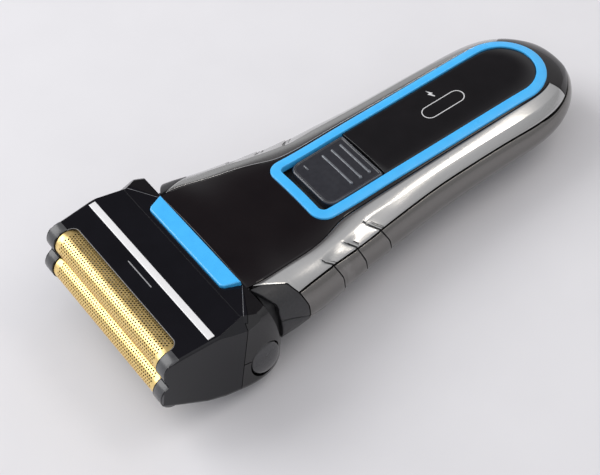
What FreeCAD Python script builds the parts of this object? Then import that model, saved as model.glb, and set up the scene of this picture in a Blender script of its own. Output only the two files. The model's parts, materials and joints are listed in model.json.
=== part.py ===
import FreeCAD, Part
import math
import os
import Sketcher
from FreeCAD import Placement, Rotation, Vector

"""Two-foil electric shaver, every piece a separate solid.

Axes: X across the width, Y along the length with the head toward -Y, Z up
from the table the shaver lies on, front face up. Stations along the handle
are measured from the tip of the head; MID moves the origin to mid-length.
The head has its own frame: u runs from the tip side toward the handle and
w toward the front, both turned by HEAD_TILT about X.
All lengths are millimetres.
"""

DIMENSIONS = [
    ("half_length", 78.37, "mid-length measured from the head tip"),
    ("wall", 2.0, "thickness of the moulded handle panels"),
    ("seam", 0.12, "half of the gap between neighbouring panels"),
    ("ring_outer", 13.2, "half width of the coloured ring, outside"),
    ("ring_inner", 10.2, "half width of the coloured ring, inside"),
    ("ring_near", 62.5, "station of the ring's end toward the head"),
    ("ring_far", 150.2, "station of the ring's rounded far end"),
    ("ring_proud", 0.6, "height of the ring over the panel"),
    ("ring_seat", 1.0, "depth of the ring and lens in the panel"),
    ("slider_width", 19.4, "slide switch across"),
    ("slider_length", 18.6, "slide switch along the handle"),
    ("slider_height", 3.0, "slide switch thickness at the middle"),
    ("slider_near", 68.0, "station of the slider's edge toward the head"),
    ("rib_length", 14.0, "raised grip ribs on the slider"),
    ("rib_width", 0.9, "raised grip ribs on the slider"),
    ("bed_width", 24.6, "switch bed across"),
    ("bed_length", 26.0, "switch bed along the handle"),
    ("bed_height", 1.5, "switch bed thickness"),
    ("motor_radius", 7.8, "motor can"),
    ("motor_length", 21.0, "motor can"),
    ("motor_height", 15.0, "height of the motor axis over the table"),
    ("shaft_radius", 1.0, "motor shaft"),
    ("cam_radius", 3.4, "disc that carries the drive pin"),
    ("cam_length", 2.4, "thickness of the cam disc"),
    ("throw_radius", 1.2, "offset of the drive pin"),
    ("pin_radius", 0.9, "drive pin"),
    ("pin_length", 5.4, "drive pin"),
    ("cell_radius", 6.5, "rechargeable cell"),
    ("cell_length", 49.0, "rechargeable cell"),
    ("board_width", 21.0, "circuit board across"),
    ("board_length", 68.0, "circuit board along the handle"),
    ("board_height", 1.2, "circuit board thickness"),
    ("button_radius", 4.5, "release button, half size along the handle"),
    ("button_rise", 5.8, "release button, half size toward the front"),
    ("button_height", 3.6, "release button, rim thickness"),
    ("foil_radius", 4.0, "outer radius of a foil arch"),
    ("foil_sheet", 0.25, "foil thickness"),
    ("foil_length", 51.4, "foil along X"),
    ("foil_flank", 6.9, "straight sides of a foil below its arch"),
    ("cutter_radius", 3.4, "tip radius of the inner cutter"),
    ("cutter_length", 46.0, "inner cutter along X"),
    ("blade_sheet", 0.5, "one blade of the inner cutter"),
    ("bridge_width", 34.0, "drive bridge along X"),
    ("bridge_depth", 12.6, "drive bridge toward the front"),
    ("bridge_height", 2.0, "drive bridge plate"),
    ("post_radius", 1.1, "bridge posts that carry the cutters"),
    ("post_length", 11.0, "bridge posts above the plate"),
    ("strip_height", 2.0, "bright strip across the head"),
    ("carriage_width", 28.0, "pop-up trimmer across"),
    ("trimmer_width", 22.0, "trimmer comb across"),
    ("screw_radius", 1.0, "case screw shank"),
    ("screw_length", 8.0, "case screw shank"),
    ("screwhead_radius", 2.2, "case screw head"),
    ("screwhead_height", 1.5, "case screw head"),
    ("spring_wire", 0.25, "wire radius of the coil springs"),
]

HEAD_TILT = 14.5
HEAD_STATION = 24.0
HEAD_HEIGHT = 17.0

doc = FreeCAD.newDocument("shaver")
sheet = doc.addObject("Spreadsheet::Sheet", "Dimensions")
for row, (alias, value, note) in enumerate(DIMENSIONS, start=1):
    sheet.set("A%d" % row, alias)
    sheet.set("B%d" % row, str(value))
    sheet.setAlias("B%d" % row, alias)
    sheet.set("C%d" % row, note)
doc.recompute()

NODES = []


def dim(alias):
    """Value of one sheet cell."""
    return float(sheet.get(alias))


MID = dim("half_length")


def at(x, station, z):
    """Placement at a station measured from the head tip."""
    return Placement(Vector(x, station - MID, z), Rotation())


def in_head(x=0.0, u=0.0, w=0.0, turn=Rotation()):
    """Placement inside the tilted head frame."""
    head = Placement(
        Vector(0, HEAD_STATION - MID, HEAD_HEIGHT),
        Rotation(Vector(1, 0, 0), -HEAD_TILT),
    )
    return head.multiply(Placement(Vector(x, u, w), turn))


# ------------------------------------------------------------ shape helpers

def feature(label, shape, placement=Placement()):
    """A sculpted piece whose shape is computed below."""
    obj = doc.addObject("Part::Feature", label)
    obj.Label = label
    obj.Shape = shape
    obj.Placement = placement
    NODES.append(obj)
    return obj


def body(label, placement):
    """A PartDesign body that becomes one node."""
    obj = doc.addObject("PartDesign::Body", label)
    obj.Label = label
    obj.Placement = placement
    NODES.append(obj)
    return obj


def sketch(owner, role, offset=0.0):
    """A sketch on one origin plane of the body, moved along its normal."""
    plane = [f for f in owner.Origin.OriginFeatures if f.Role == role][0]
    obj = owner.newObject("Sketcher::SketchObject", owner.Label + "_sketch")
    obj.AttachmentSupport = [(plane, "")]
    obj.MapMode = "FlatFace"
    obj.AttachmentOffset = Placement(Vector(0, 0, offset), Rotation())
    return obj


def rectangle(target, width, length, x=0.0, y=0.0):
    """Rectangle; sizes given as a cell alias follow the sheet."""
    sizes = [dim(s) if isinstance(s, str) else s for s in (width, length)]
    w, l = sizes
    corners = [
        Vector(x - w / 2, y - l / 2, 0),
        Vector(x + w / 2, y - l / 2, 0),
        Vector(x + w / 2, y + l / 2, 0),
        Vector(x - w / 2, y + l / 2, 0),
    ]
    first = target.GeometryCount
    for i in range(4):
        target.addGeometry(Part.LineSegment(corners[i], corners[(i + 1) % 4]), False)
    for i in range(4):
        target.addConstraint(
            Sketcher.Constraint("Coincident", first + i, 2, first + (i + 1) % 4, 1)
        )
    for i, rule in enumerate(("Horizontal", "Vertical", "Horizontal", "Vertical")):
        target.addConstraint(Sketcher.Constraint(rule, first + i))
    if x == 0.0 and y == 0.0:
        target.addConstraint(
            Sketcher.Constraint("Symmetric", first, 1, first + 1, 2, -1, 1)
        )
    for rule, line, size, name in (
        ("DistanceX", first, w, width),
        ("DistanceY", first + 1, l, length),
    ):
        index = target.addConstraint(Sketcher.Constraint(rule, line, 1, line, 2, size))
        if isinstance(name, str):
            target.setExpression("Constraints[%d]" % index, "Dimensions." + name)


def circle(target, radius, x=0.0, y=0.0):
    """Circle; a radius given as a cell alias follows the sheet."""
    r = dim(radius) if isinstance(radius, str) else radius
    line = target.addGeometry(Part.Circle(Vector(x, y, 0), Vector(0, 0, 1), r), False)
    if x == 0.0 and y == 0.0:
        target.addConstraint(Sketcher.Constraint("Coincident", line, 3, -1, 1))
    index = target.addConstraint(Sketcher.Constraint("Radius", line, r))
    if isinstance(radius, str):
        target.setExpression("Constraints[%d]" % index, "Dimensions." + radius)


def outline(target, points):
    """Closed polyline in the sketch."""
    ends = [Vector(p[0], p[1], 0) for p in points]
    first = target.GeometryCount
    for i in range(len(ends)):
        target.addGeometry(Part.LineSegment(ends[i], ends[(i + 1) % len(ends)]), False)
    for i in range(len(ends)):
        target.addConstraint(
            Sketcher.Constraint("Coincident", first + i, 2, first + (i + 1) % len(ends), 1)
        )


def pad(owner, profile, length, both=False):
    """Pad; a length given as a cell alias follows the sheet."""
    obj = owner.newObject("PartDesign::Pad", owner.Label + "_pad")
    obj.Profile = profile
    if isinstance(length, str):
        obj.setExpression("Length", "Dimensions." + length)
    else:
        obj.Length = length
    obj.Midplane = both
    doc.recompute()
    return obj


def pocket(owner, profile, depth, backwards=False, both=False):
    """Pocket that must really remove material."""
    before = owner.Shape.Volume
    obj = owner.newObject("PartDesign::Pocket", owner.Label + "_pocket")
    obj.Profile = profile
    obj.Length = depth
    obj.Reversed = backwards
    obj.Midplane = both
    doc.recompute()
    if owner.Shape.Volume > before - 1e-3:
        raise RuntimeError("pocket removed nothing: " + owner.Label)
    return obj


def prism(points, axis, start, stop):
    """Closed polygon pushed along one axis; points are the two other axes."""
    place = {
        "x": lambda p: Vector(start, p[0], p[1]),
        "y": lambda p: Vector(p[0], start, p[1]),
        "z": lambda p: Vector(p[0], p[1], start),
    }[axis]
    way = {"x": Vector(1, 0, 0), "y": Vector(0, 1, 0), "z": Vector(0, 0, 1)}[axis]
    ends = [place(p) for p in points]
    face = Part.Face(Part.makePolygon(ends + ends[:1]))
    return face.extrude(way * (stop - start))


def block(x, y, z):
    """Box from three (low, high) pairs."""
    size = [pair[1] - pair[0] for pair in (x, y, z)]
    return Part.makeBox(size[0], size[1], size[2], Vector(x[0], y[0], z[0]))


def curve(points):
    """Smooth edge through 3-D points."""
    spline = Part.BSplineCurve()
    spline.interpolate([Vector(*p) for p in points])
    return spline.toShape()


def coil(radius, length, turns, wire):
    """Coil spring along +Z from the origin, swept along a smooth curve."""
    steps = int(turns * 12)
    points = []
    for i in range(steps + 1):
        angle = 2 * math.pi * turns * i / steps
        points.append((radius * math.cos(angle), radius * math.sin(angle), length * i / steps))
    path = curve(points)
    start = path.valueAt(path.FirstParameter)
    way = path.tangentAt(path.FirstParameter)
    section = Part.Wire([Part.makeCircle(wire, start, way)])
    return Part.Wire([path]).makePipeShell([section], True, True)


# ------------------------------------------------------------- handle form

# station, crown height, panel edge x z, groove x z, widest x z, back seam x z, back height
SECTIONS = [
    (30.0, 30.4, 19.6, 28.6, 27.2, 25.4, 28.9, 17.0, 27.0, 9.5, 5.2),
    (38.0, 29.2, 21.0, 27.8, 27.6, 24.3, 29.2, 16.5, 27.4, 9.6, 4.6),
    (46.0, 27.6, 20.2, 26.2, 27.0, 22.4, 29.1, 15.0, 27.0, 9.6, 3.6),
    (54.0, 26.1, 18.9, 24.8, 25.6, 21.6, 28.1, 14.2, 25.8, 8.9, 2.7),
    (62.0, 25.1, 16.8, 23.8, 24.4, 20.8, 26.7, 13.7, 24.2, 8.4, 1.9),
    (72.0, 24.6, 14.5, 23.2, 22.9, 19.9, 25.0, 13.2, 22.4, 8.1, 1.1),
    (84.0, 24.5, 14.2, 23.1, 21.4, 19.6, 23.2, 12.9, 20.8, 8.3, 0.4),
    (98.0, 24.3, 14.0, 22.95, 20.2, 19.5, 21.9, 12.8, 19.6, 8.7, 0.0),
    (112.0, 24.1, 13.95, 22.75, 19.8, 19.2, 21.4, 12.8, 19.0, 8.8, 0.0),
    (126.0, 23.95, 13.9, 22.6, 19.6, 18.6, 21.3, 12.9, 18.8, 8.7, 0.1),
    (136.0, 23.8, 13.7, 22.35, 19.1, 18.0, 20.9, 13.1, 18.4, 8.8, 0.5),
    (144.0, 23.2, 12.2, 21.7, 17.2, 17.6, 19.0, 13.4, 16.7, 9.3, 1.7),
    (150.0, 21.6, 9.4, 20.4, 14.0, 17.0, 15.6, 13.7, 13.6, 10.2, 3.9),
    (154.0, 19.6, 6.8, 18.7, 10.2, 16.3, 11.6, 14.0, 10.0, 11.2, 6.6),
    (156.5, 17.5, 4.2, 17.0, 6.4, 15.6, 7.3, 14.2, 6.2, 12.4, 9.6),
    (157.4, 15.9, 2.2, 15.7, 3.4, 15.0, 3.9, 14.3, 3.3, 13.4, 11.9),
]
BUTT_START = 134.0
BUTT_END = 157.4


def section_wire(row, off):
    """Handle section pushed outward by off (inward when negative)."""
    station, top, ex, ez, gx, gz, wx, wz, sx, sz, low = row
    reach = max(0.0, (station - BUTT_START) / (BUTT_END - BUTT_START))
    radial = off * math.sqrt(max(0.0, 1.0 - reach * reach * 0.75))
    along = off * reach * reach
    right = [(0.0, top), (ex, ez), (gx, gz), (wx, wz), (sx, sz), (0.0, low)]
    loop = right + [(-x, z) for x, z in reversed(right[1:-1])]
    moved = []
    for i, (x, z) in enumerate(loop):
        before = loop[i - 1]
        after = loop[(i + 1) % len(loop)]
        tx, tz = after[0] - before[0], after[1] - before[1]
        size = math.hypot(tx, tz)
        moved.append((x - tz / size * radial, z + tx / size * radial))
    y = station + along - MID
    p = [Vector(x, y, z) for x, z in moved]

    def bulged(a, b, rise):
        """Arc from a to b standing out by rise."""
        mid = (a + b) * 0.5
        normal = Vector(-(b - a).z, 0, (b - a).x)
        normal.normalize()
        return Part.Arc(a, mid + normal * rise, b).toShape()

    def crest(a, b, rise):
        """Point between panel edge and groove where the two flat strips meet."""
        normal = Vector(-(b - a).z, 0, (b - a).x)
        normal.normalize()
        return (a + b) * 0.5 + normal * rise

    scale = min(1.0, gx / 20.0)
    right_crest = crest(p[1], p[2], 0.85 * scale)
    left_crest = crest(p[8], p[9], 0.85 * scale)
    edges = [
        Part.Arc(p[9], p[0], p[1]).toShape(),
        bulged(p[1], right_crest, 0.12 * scale),
        bulged(right_crest, p[2], 0.12 * scale),
        Part.Arc(p[2], p[3], p[4]).toShape(),
        Part.Arc(p[4], p[5], p[6]).toShape(),
        Part.Arc(p[6], p[7], p[8]).toShape(),
        bulged(p[8], left_crest, 0.12 * scale),
        bulged(left_crest, p[9], 0.12 * scale),
    ]
    return Part.Wire(edges)


FORMS = {}


def form(off):
    """Solid of the whole handle, pushed outward by off."""
    if off not in FORMS:
        FORMS[off] = Part.makeLoft([section_wire(row, off) for row in SECTIONS], True, False)
    return FORMS[off]


# plan outline of the front panel: half width at each station
PANEL_EDGE = [
    (20.4, 30.0), (21.1, 38.0), (20.2, 45.0), (19.3, 51.4), (18.3, 57.6), (16.9, 62.4),
    (15.1, 67.4), (14.5, 72.0), (14.3, 84.0), (14.1, 98.0), (13.95, 112.0), (13.9, 126.0),
    (13.85, 134.0), (13.4, 140.0), (12.6, 143.0), (11.5, 145.4),
]
# side outlines: station and height
GROOVE_LINE = [
    (44.0, 22.6), (50.0, 22.0), (60.2, 21.0), (70.0, 19.9), (78.9, 19.6), (96.6, 19.5),
    (111.6, 19.2), (126.0, 18.6), (139.8, 17.5), (160.0, 16.4),
]
BACK_SEAM = [
    (30.0, 18.9), (38.0, 18.4), (42.0, 16.6), (46.6, 13.4), (54.0, 10.4), (63.1, 8.9),
    (72.4, 8.2), (82.0, 8.3), (93.0, 8.6), (112.0, 8.8), (136.0, 8.8), (160.0, 8.8),
]
SHOULDER_EDGE = [
    (33.0, 31.0), (33.6, 29.2), (37.3, 28.6), (41.2, 27.2), (43.8, 25.3), (45.6, 22.3),
    (46.7, 18.0), (46.7, 13.0), (44.5, 4.0), (43.0, -4.0),
]


def plan_region(grow, low, high):
    """Prism of the front panel outline, grown by grow, between two heights."""
    side = [(x + grow, y - MID, low) for x, y in PANEL_EDGE]
    other = [(-x, y, z) for x, y, z in side]
    corner = 148.2 + grow * 0.5 - MID - grow
    right = [Vector(*side[-1]), Vector(14.9 + grow, corner, low), Vector(40, corner + 2.5, low)]
    right.append(Vector(40, 170 - MID, low))
    left = [Vector(-p.x, p.y, p.z) for p in reversed(right)]
    rim = Part.makePolygon(right + left).Edges
    base = Part.makeLine(Vector(*other[0]), Vector(*side[0]))
    loop = Part.Wire(Part.__sortEdges__([curve(side), curve(other), base] + rim))
    return Part.Face(loop).extrude(Vector(0, 0, high - low))


def side_region(points, shift, above):
    """Slab above (or below) a side-view line, shifted by shift in height."""
    line = curve([(-45.0, y - MID, z + shift) for y, z in points])
    first, last = points[0], points[-1]
    level = 60.0 if above else -30.0
    a = Vector(-45, first[0] - MID, first[1] + shift)
    b = Vector(-45, last[0] - MID, last[1] + shift)
    frame = [
        Part.makeLine(b, Vector(-45, b.y, level)),
        Part.makeLine(Vector(-45, b.y, level), Vector(-45, a.y, level)),
        Part.makeLine(Vector(-45, a.y, level), a),
    ]
    loop = Part.Wire(Part.__sortEdges__([line] + frame))
    return Part.Face(loop).extrude(Vector(90, 0, 0))


def shoulder_region(shift):
    """Everything on the head side of the shoulder edge."""
    line = curve([(-45.0, y + shift - MID, z) for y, z in SHOULDER_EDGE])
    first, last = SHOULDER_EDGE[0], SHOULDER_EDGE[-1]
    a = Vector(-45, first[0] + shift - MID, first[1])
    b = Vector(-45, last[0] + shift - MID, last[1])
    near = 10.0 - MID
    frame = [
        Part.makeLine(b, Vector(-45, near, b.z)),
        Part.makeLine(Vector(-45, near, b.z), Vector(-45, near, a.z)),
        Part.makeLine(Vector(-45, near, a.z), a),
    ]
    loop = Part.Wire(Part.__sortEdges__([line] + frame))
    return Part.Face(loop).extrude(Vector(90, 0, 0))


def ring_outline(half, near, far, corner, low, high):
    """Prism with two rounded near corners and a half-round far end."""
    y0, y1 = near - MID, far - half - MID
    c = corner * (1 - math.sqrt(0.5))
    edges = [
        Part.makeLine(Vector(-half + corner, y0, low), Vector(half - corner, y0, low)),
        Part.Arc(
            Vector(half - corner, y0, low),
            Vector(half - c, y0 + c, low),
            Vector(half, y0 + corner, low),
        ).toShape(),
        Part.makeLine(Vector(half, y0 + corner, low), Vector(half, y1, low)),
        Part.Arc(
            Vector(half, y1, low), Vector(0, y1 + half, low), Vector(-half, y1, low)
        ).toShape(),
        Part.makeLine(Vector(-half, y1, low), Vector(-half, y0 + corner, low)),
        Part.Arc(
            Vector(-half, y0 + corner, low),
            Vector(-half + c, y0 + c, low),
            Vector(-half + corner, y0, low),
        ).toShape(),
    ]
    return Part.Face(Part.Wire(edges)).extrude(Vector(0, 0, high - low))


def pill(half, near, far, low, high):
    """Prism of a slot shape along the handle."""
    y0, y1 = near + half - MID, far - half - MID
    edges = [
        Part.makeLine(Vector(half, y0, low), Vector(half, y1, low)),
        Part.Arc(
            Vector(half, y1, low), Vector(0, y1 + half, low), Vector(-half, y1, low)
        ).toShape(),
        Part.makeLine(Vector(-half, y1, low), Vector(-half, y0, low)),
        Part.Arc(
            Vector(-half, y0, low), Vector(0, y0 - half, low), Vector(half, y0, low)
        ).toShape(),
    ]
    return Part.Face(Part.Wire(edges)).extrude(Vector(0, 0, high - low))


WALL, SEAM = dim("wall"), dim("seam")
SEAT = dim("ring_seat")
RING_OUT, RING_IN = dim("ring_outer"), dim("ring_inner")
RING_NEAR, RING_FAR = dim("ring_near"), dim("ring_far")
BAND = RING_OUT - RING_IN

shell = form(0.0).cut(form(-WALL))

# neck end: the rim runs back from the front middle to the sides
neck_end = prism(
    [(10 - MID, -10), (37.7 - MID, -10), (37.7 - MID, 23.5), (33.4 - MID, 29.0),
     (33.4 - MID, 50), (10 - MID, 50)], "x", -45, 45)
rim_side = curve([(20.2, 33.4 - MID, 20.0), (23.0, 34.7 - MID, 20.0), (26.0, 36.5 - MID, 20.0),
                  (28.2, 38.4 - MID, 20.0), (31.0, 42.0 - MID, 20.0)])
rim_frame = Part.makePolygon([Vector(31.0, 42.0 - MID, 20.0), Vector(31.0, 20 - MID, 20.0),
                              Vector(20.2, 20 - MID, 20.0), Vector(20.2, 33.4 - MID, 20.0)])
rim_right = Part.Face(Part.Wire(Part.__sortEdges__([rim_side] + rim_frame.Edges)))
rim_right = rim_right.extrude(Vector(0, 0, 20))
rim_left = rim_right.mirror(Vector(0, 0, 0), Vector(1, 0, 0))
shell = shell.cut(neck_end).cut(rim_right).cut(rim_left)

FRONT_LOW = 16.6
panel_solid = shell.common(plan_region(-SEAM, FRONT_LOW + SEAM, 45.0))
rest = shell.cut(plan_region(SEAM, FRONT_LOW - SEAM, 45.0))

# three curved grip grooves on each flank
GRIPS = [
    ((73.4, 22.2), (76.9, 17.6), (78.5, 8.6)),
    ((63.9, 23.1), (67.6, 18.0), (69.4, 8.8)),
    ((56.3, 23.3), (59.2, 18.5), (60.7, 9.2)),
]
GRIP_HALF, GRIP_DEPTH = 0.45, 0.7
skin = form(0.8).cut(form(-GRIP_DEPTH))
grip_tools = []
for start, middle, end in GRIPS:
    for side in (-1, 1):
        a, b, c = [Vector(side * 16.0, y - MID, z) for y, z in (start, middle, end)]
        near = Part.Arc(*[p + Vector(0, -GRIP_HALF, 0) for p in (a, b, c)]).toShape()
        far = Part.Arc(*[p + Vector(0, GRIP_HALF, 0) for p in (a, b, c)]).toShape()
        ends = [
            Part.makeLine(a + Vector(0, -GRIP_HALF, 0), a + Vector(0, GRIP_HALF, 0)),
            Part.makeLine(c + Vector(0, -GRIP_HALF, 0), c + Vector(0, GRIP_HALF, 0)),
        ]
        face = Part.Face(Part.Wire(Part.__sortEdges__([near, far] + ends)))
        grip_tools.append(face.extrude(Vector(side * 20, 0, 0)).common(skin))

shoulders = rest.common(shoulder_region(-SEAM)).common(side_region(BACK_SEAM, SEAM, True))
beyond = rest.cut(shoulder_region(SEAM))
rails = beyond.common(side_region(GROOVE_LINE, SEAM, True))
flanks = beyond.cut(side_region(GROOVE_LINE, -SEAM, True))
flanks = flanks.common(side_region(BACK_SEAM, SEAM, True))
under = rest.cut(side_region(BACK_SEAM, -SEAM, True))
shoulder_back = under.common(shoulder_region(-SEAM))
back = under.cut(shoulder_region(SEAM))
for tool in grip_tools:
    rails = rails.cut(tool)
    flanks = flanks.cut(tool)


def halves(shape, name):
    """Left and right solids of a symmetric pair, dropping crumbs."""
    for suffix, sign in (("left", -1), ("right", 1)):
        solids = [s for s in shape.Solids if s.CenterOfMass.x * sign > 0 and s.Volume > 5.0]
        if len(solids) != 1:
            raise RuntimeError("%s_%s has %d solids" % (name, suffix, len(solids)))
        feature("%s_%s" % (name, suffix), solids[0])


def largest(shape, limit=20.0):
    """The one real solid of a cut, dropping crumbs."""
    solids = [s for s in shape.Solids if s.Volume > limit]
    if len(solids) != 1:
        raise RuntimeError("expected one solid, found %d" % len(solids))
    return solids[0]


halves(rails, "rail")
halves(shoulders, "shoulder")

# charging socket in the butt, screw holes and trimmer bay in the back
SOCKET_Z, SOCKET_HALF_X, SOCKET_HALF_Z = 12.7, 4.7, 3.1
socket_hole = block((-SOCKET_HALF_X, SOCKET_HALF_X), (149 - MID, 165 - MID),
                    (SOCKET_Z - SOCKET_HALF_Z, SOCKET_Z + SOCKET_HALF_Z))
feature("side_band", largest(flanks.cut(socket_hole)))

SCREWS = [(-11.6, 88.0), (11.6, 88.0), (-11.6, 131.0), (11.6, 131.0)]
SCREW_SEAT = 6.0
BAY_NEAR, BAY_FAR, BAY_HALF = 41.4, 75.4, 14.4
back = largest(back)
for x, y in SCREWS:
    boss = Part.makeCylinder(3.1, 10.0, Vector(x, y - MID, 1.0))
    back = back.fuse(boss.common(form(-0.6)))
for x, y in SCREWS:
    head = Part.makeCylinder(2.55, SCREW_SEAT + 5, Vector(x, y - MID, -5.0))
    bore = Part.makeCylinder(1.3, 30, Vector(x, y - MID, -5.0))
    back = back.cut(head).cut(bore)
back = back.cut(block((-BAY_HALF, BAY_HALF), (BAY_NEAR - MID, BAY_FAR - MID), (-5, 9.0)))
feature("back_shell", largest(back.removeSplitter()))
shoulder_back = shoulder_back.cut(block((-BAY_HALF, BAY_HALF), (BAY_NEAR - MID, 60 - MID), (-5, 9.0)))
feature("shoulder_back", largest(shoulder_back))

# front panel with the seat of ring and lens, slider window and light hole
inner_near = RING_NEAR + BAND
SLIDE_OPEN_FAR = 87.2
seat = ring_outline(RING_OUT + 0.05, RING_NEAR - 0.05, RING_FAR + 0.05, 4.55, 15, 45)
slider_window = block((-RING_IN - 0.05, RING_IN + 0.05),
                      (inner_near - 0.05 - MID, SLIDE_OPEN_FAR - MID), (17, 45))
light_hole = Part.makeCylinder(1.9, 20, Vector(0, 115.7 - MID, 17))
panel = largest(panel_solid).cut(seat.cut(form(-SEAT - 0.05)))
panel = panel.cut(slider_window).cut(light_hole)
feature("front_panel", largest(panel))

band = ring_outline(RING_OUT, RING_NEAR, RING_FAR, 4.5, 15, 45)
band = band.cut(ring_outline(RING_IN, inner_near, RING_FAR - BAND, 1.8, 10, 50))
ring = form(dim("ring_proud")).cut(form(-SEAT)).common(band)
feature("trim_ring", largest(ring))

lens_region = ring_outline(RING_IN - 0.06, inner_near, RING_FAR - BAND - 0.06, 1.8, 15, 45)
lens_region = lens_region.cut(block((-30, 30), (-200, SLIDE_OPEN_FAR + 0.1 - MID), (0, 60)))
lens = form(0.0).cut(form(-SEAT)).common(lens_region)
mark_outer = pill(2.5, 108.5, 123.0, 15, 45)
mark = mark_outer.cut(pill(2.1, 108.9, 122.6, 10, 50))
mark_seat = pill(2.53, 108.47, 123.03, 15, 45).cut(pill(2.07, 108.93, 122.57, 10, 50))
lens = lens.cut(mark_seat.cut(form(-0.4)))
feature("status_lens", largest(lens))
feature("charge_outline", largest(form(0.06).cut(form(-0.37)).common(mark), 0.5))

# ------------------------------------------------------------- handle inside
bed = body("switch_bed", at(0, 76.2, 19.5))
plate = sketch(bed, "XY_Plane")
rectangle(plate, "bed_width", "bed_length")
pad(bed, plate, "bed_height")
slot = sketch(bed, "XY_Plane", dim("bed_height"))
rectangle(slot, 3.4, 9.0)
pocket(bed, slot, 3.0)

# slide switch: crowned bar, thumb hollow left to the three raised ribs
SLIDER_Z = 21.5
slider = body("slide_switch", at(0, dim("slider_near"), SLIDER_Z))
half = dim("slider_width") / 2
crown, fall = dim("slider_height"), 0.62
profile = sketch(slider, "XZ_Plane")
profile.addGeometry(Part.LineSegment(Vector(-half, 0, 0), Vector(half, 0, 0)), False)
profile.addGeometry(Part.LineSegment(Vector(half, 0, 0), Vector(half, crown - fall, 0)), False)
profile.addGeometry(
    Part.Arc(Vector(half, crown - fall, 0), Vector(0, crown, 0), Vector(-half, crown - fall, 0)),
    False,
)
profile.addGeometry(Part.LineSegment(Vector(-half, crown - fall, 0), Vector(-half, 0, 0)), False)
bar = slider.newObject("PartDesign::Pad", "slider_bar")
bar.Profile = profile
bar.setExpression("Length", "Dimensions.slider_length")
bar.Reversed = True
doc.recompute()
rounds = slider.newObject("PartDesign::Fillet", "slider_rounds")
corner_edges = []
for i, edge in enumerate(bar.Shape.Edges, start=1):
    box = edge.BoundBox
    if box.ZLength > 1.5 and box.XLength < 0.01 and abs(box.YMin) < 0.01:
        corner_edges.append("Edge%d" % i)
rounds.Base = (bar, corner_edges)
rounds.Radius = 2.2
doc.recompute()
for station in (10.0, 13.2, 16.2):
    rib = sketch(slider, "XY_Plane", crown - 0.5)
    rectangle(rib, dim("rib_length"), dim("rib_width"), 0.0, station)
    pad(slider, rib, 0.95)
stem = sketch(slider, "XY_Plane", -2.0)
rectangle(stem, 2.6, 3.4, 0.0, 9.6)
pad(slider, stem, 2.5)

board = body("circuit_board", at(0, 98.5, 15.9))
plate = sketch(board, "XY_Plane")
rectangle(plate, "board_width", "board_length")
pad(board, plate, "board_height")
vias = sketch(board, "XY_Plane", dim("board_height"))
for x in (-8.5, 8.5):
    for y in (-31.0, 31.0):
        circle(vias, 1.1, x, y)
pocket(board, vias, 3.0)

contact = body("slide_contact", at(0, 76.2, 17.15))
base = sketch(contact, "XY_Plane")
rectangle(base, 8.0, 15.0)
pad(contact, base, 2.1)
trough = sketch(contact, "XY_Plane", 2.1)
rectangle(trough, 3.4, 9.0)
pocket(contact, trough, 1.2)

lamp = body("charge_lamp", at(0, 115.7, 17.15))
base = sketch(lamp, "XY_Plane")
rectangle(base, 2.8, 3.4)
pad(lamp, base, 1.6)
dome = sketch(lamp, "XY_Plane", 1.6)
circle(dome, 1.3)
pad(lamp, dome, 3.6)

cell = body("battery_cell", at(0, 86.4, 9.25))
length, radius = dim("cell_length"), dim("cell_radius")
profile = sketch(cell, "XY_Plane")
outline(profile, [(0, 0), (radius - 0.6, 0), (radius, 0.6), (radius, length - 1.2),
                  (radius - 1.0, length - 0.4), (2.6, length - 0.4), (2.6, length + 0.7),
                  (0, length + 0.7)])
turned = cell.newObject("PartDesign::Revolution", "cell_turned")
turned.Profile = profile
turned.ReferenceAxis = (profile, ["V_Axis"])
turned.Angle = 360
doc.recompute()

for label, station in (("battery_tab_near", 85.8), ("battery_tab_far", 136.3)):
    tab = body(label, at(0, station, 6.5))
    leaf = sketch(tab, "XZ_Plane")
    rectangle(leaf, 6.0, 9.2, 0.0, 4.6)
    pad(tab, leaf, 0.4, True)

# ------------------------------------------------------------- drive
MOTOR_Z = dim("motor_height")
MOTOR_NEAR = 41.3
motor = body("motor_can", at(0, MOTOR_NEAR, MOTOR_Z))
radius, length = dim("motor_radius"), dim("motor_length")
profile = sketch(motor, "XY_Plane")
outline(profile, [(1.08, -1.0), (3.2, -1.0), (3.2, 0.0), (radius - 0.7, 0.0), (radius, 0.7),
                  (radius, length), (2.4, length), (2.4, length - 1.0), (1.08, length - 1.0)])
turned = motor.newObject("PartDesign::Revolution", "motor_turned")
turned.Profile = profile
turned.ReferenceAxis = (profile, ["V_Axis"])
turned.Angle = 360
doc.recompute()

SHAFT_NEAR = 36.6
shaft = body("motor_shaft", at(0, SHAFT_NEAR, MOTOR_Z))
profile = sketch(shaft, "XZ_Plane")
circle(profile, "shaft_radius")
pad(shaft, profile, 22.0).Reversed = True
doc.recompute()

CAM_NEAR = 34.1
cam = body("cam_disc", at(0, CAM_NEAR, MOTOR_Z))
profile = sketch(cam, "XZ_Plane")
circle(profile, "cam_radius")
pad(cam, profile, "cam_length").Reversed = True
doc.recompute()
profile = sketch(cam, "XZ_Plane")
circle(profile, "pin_radius", 0.0, dim("throw_radius"))
pad(cam, profile, "pin_length")

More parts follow.
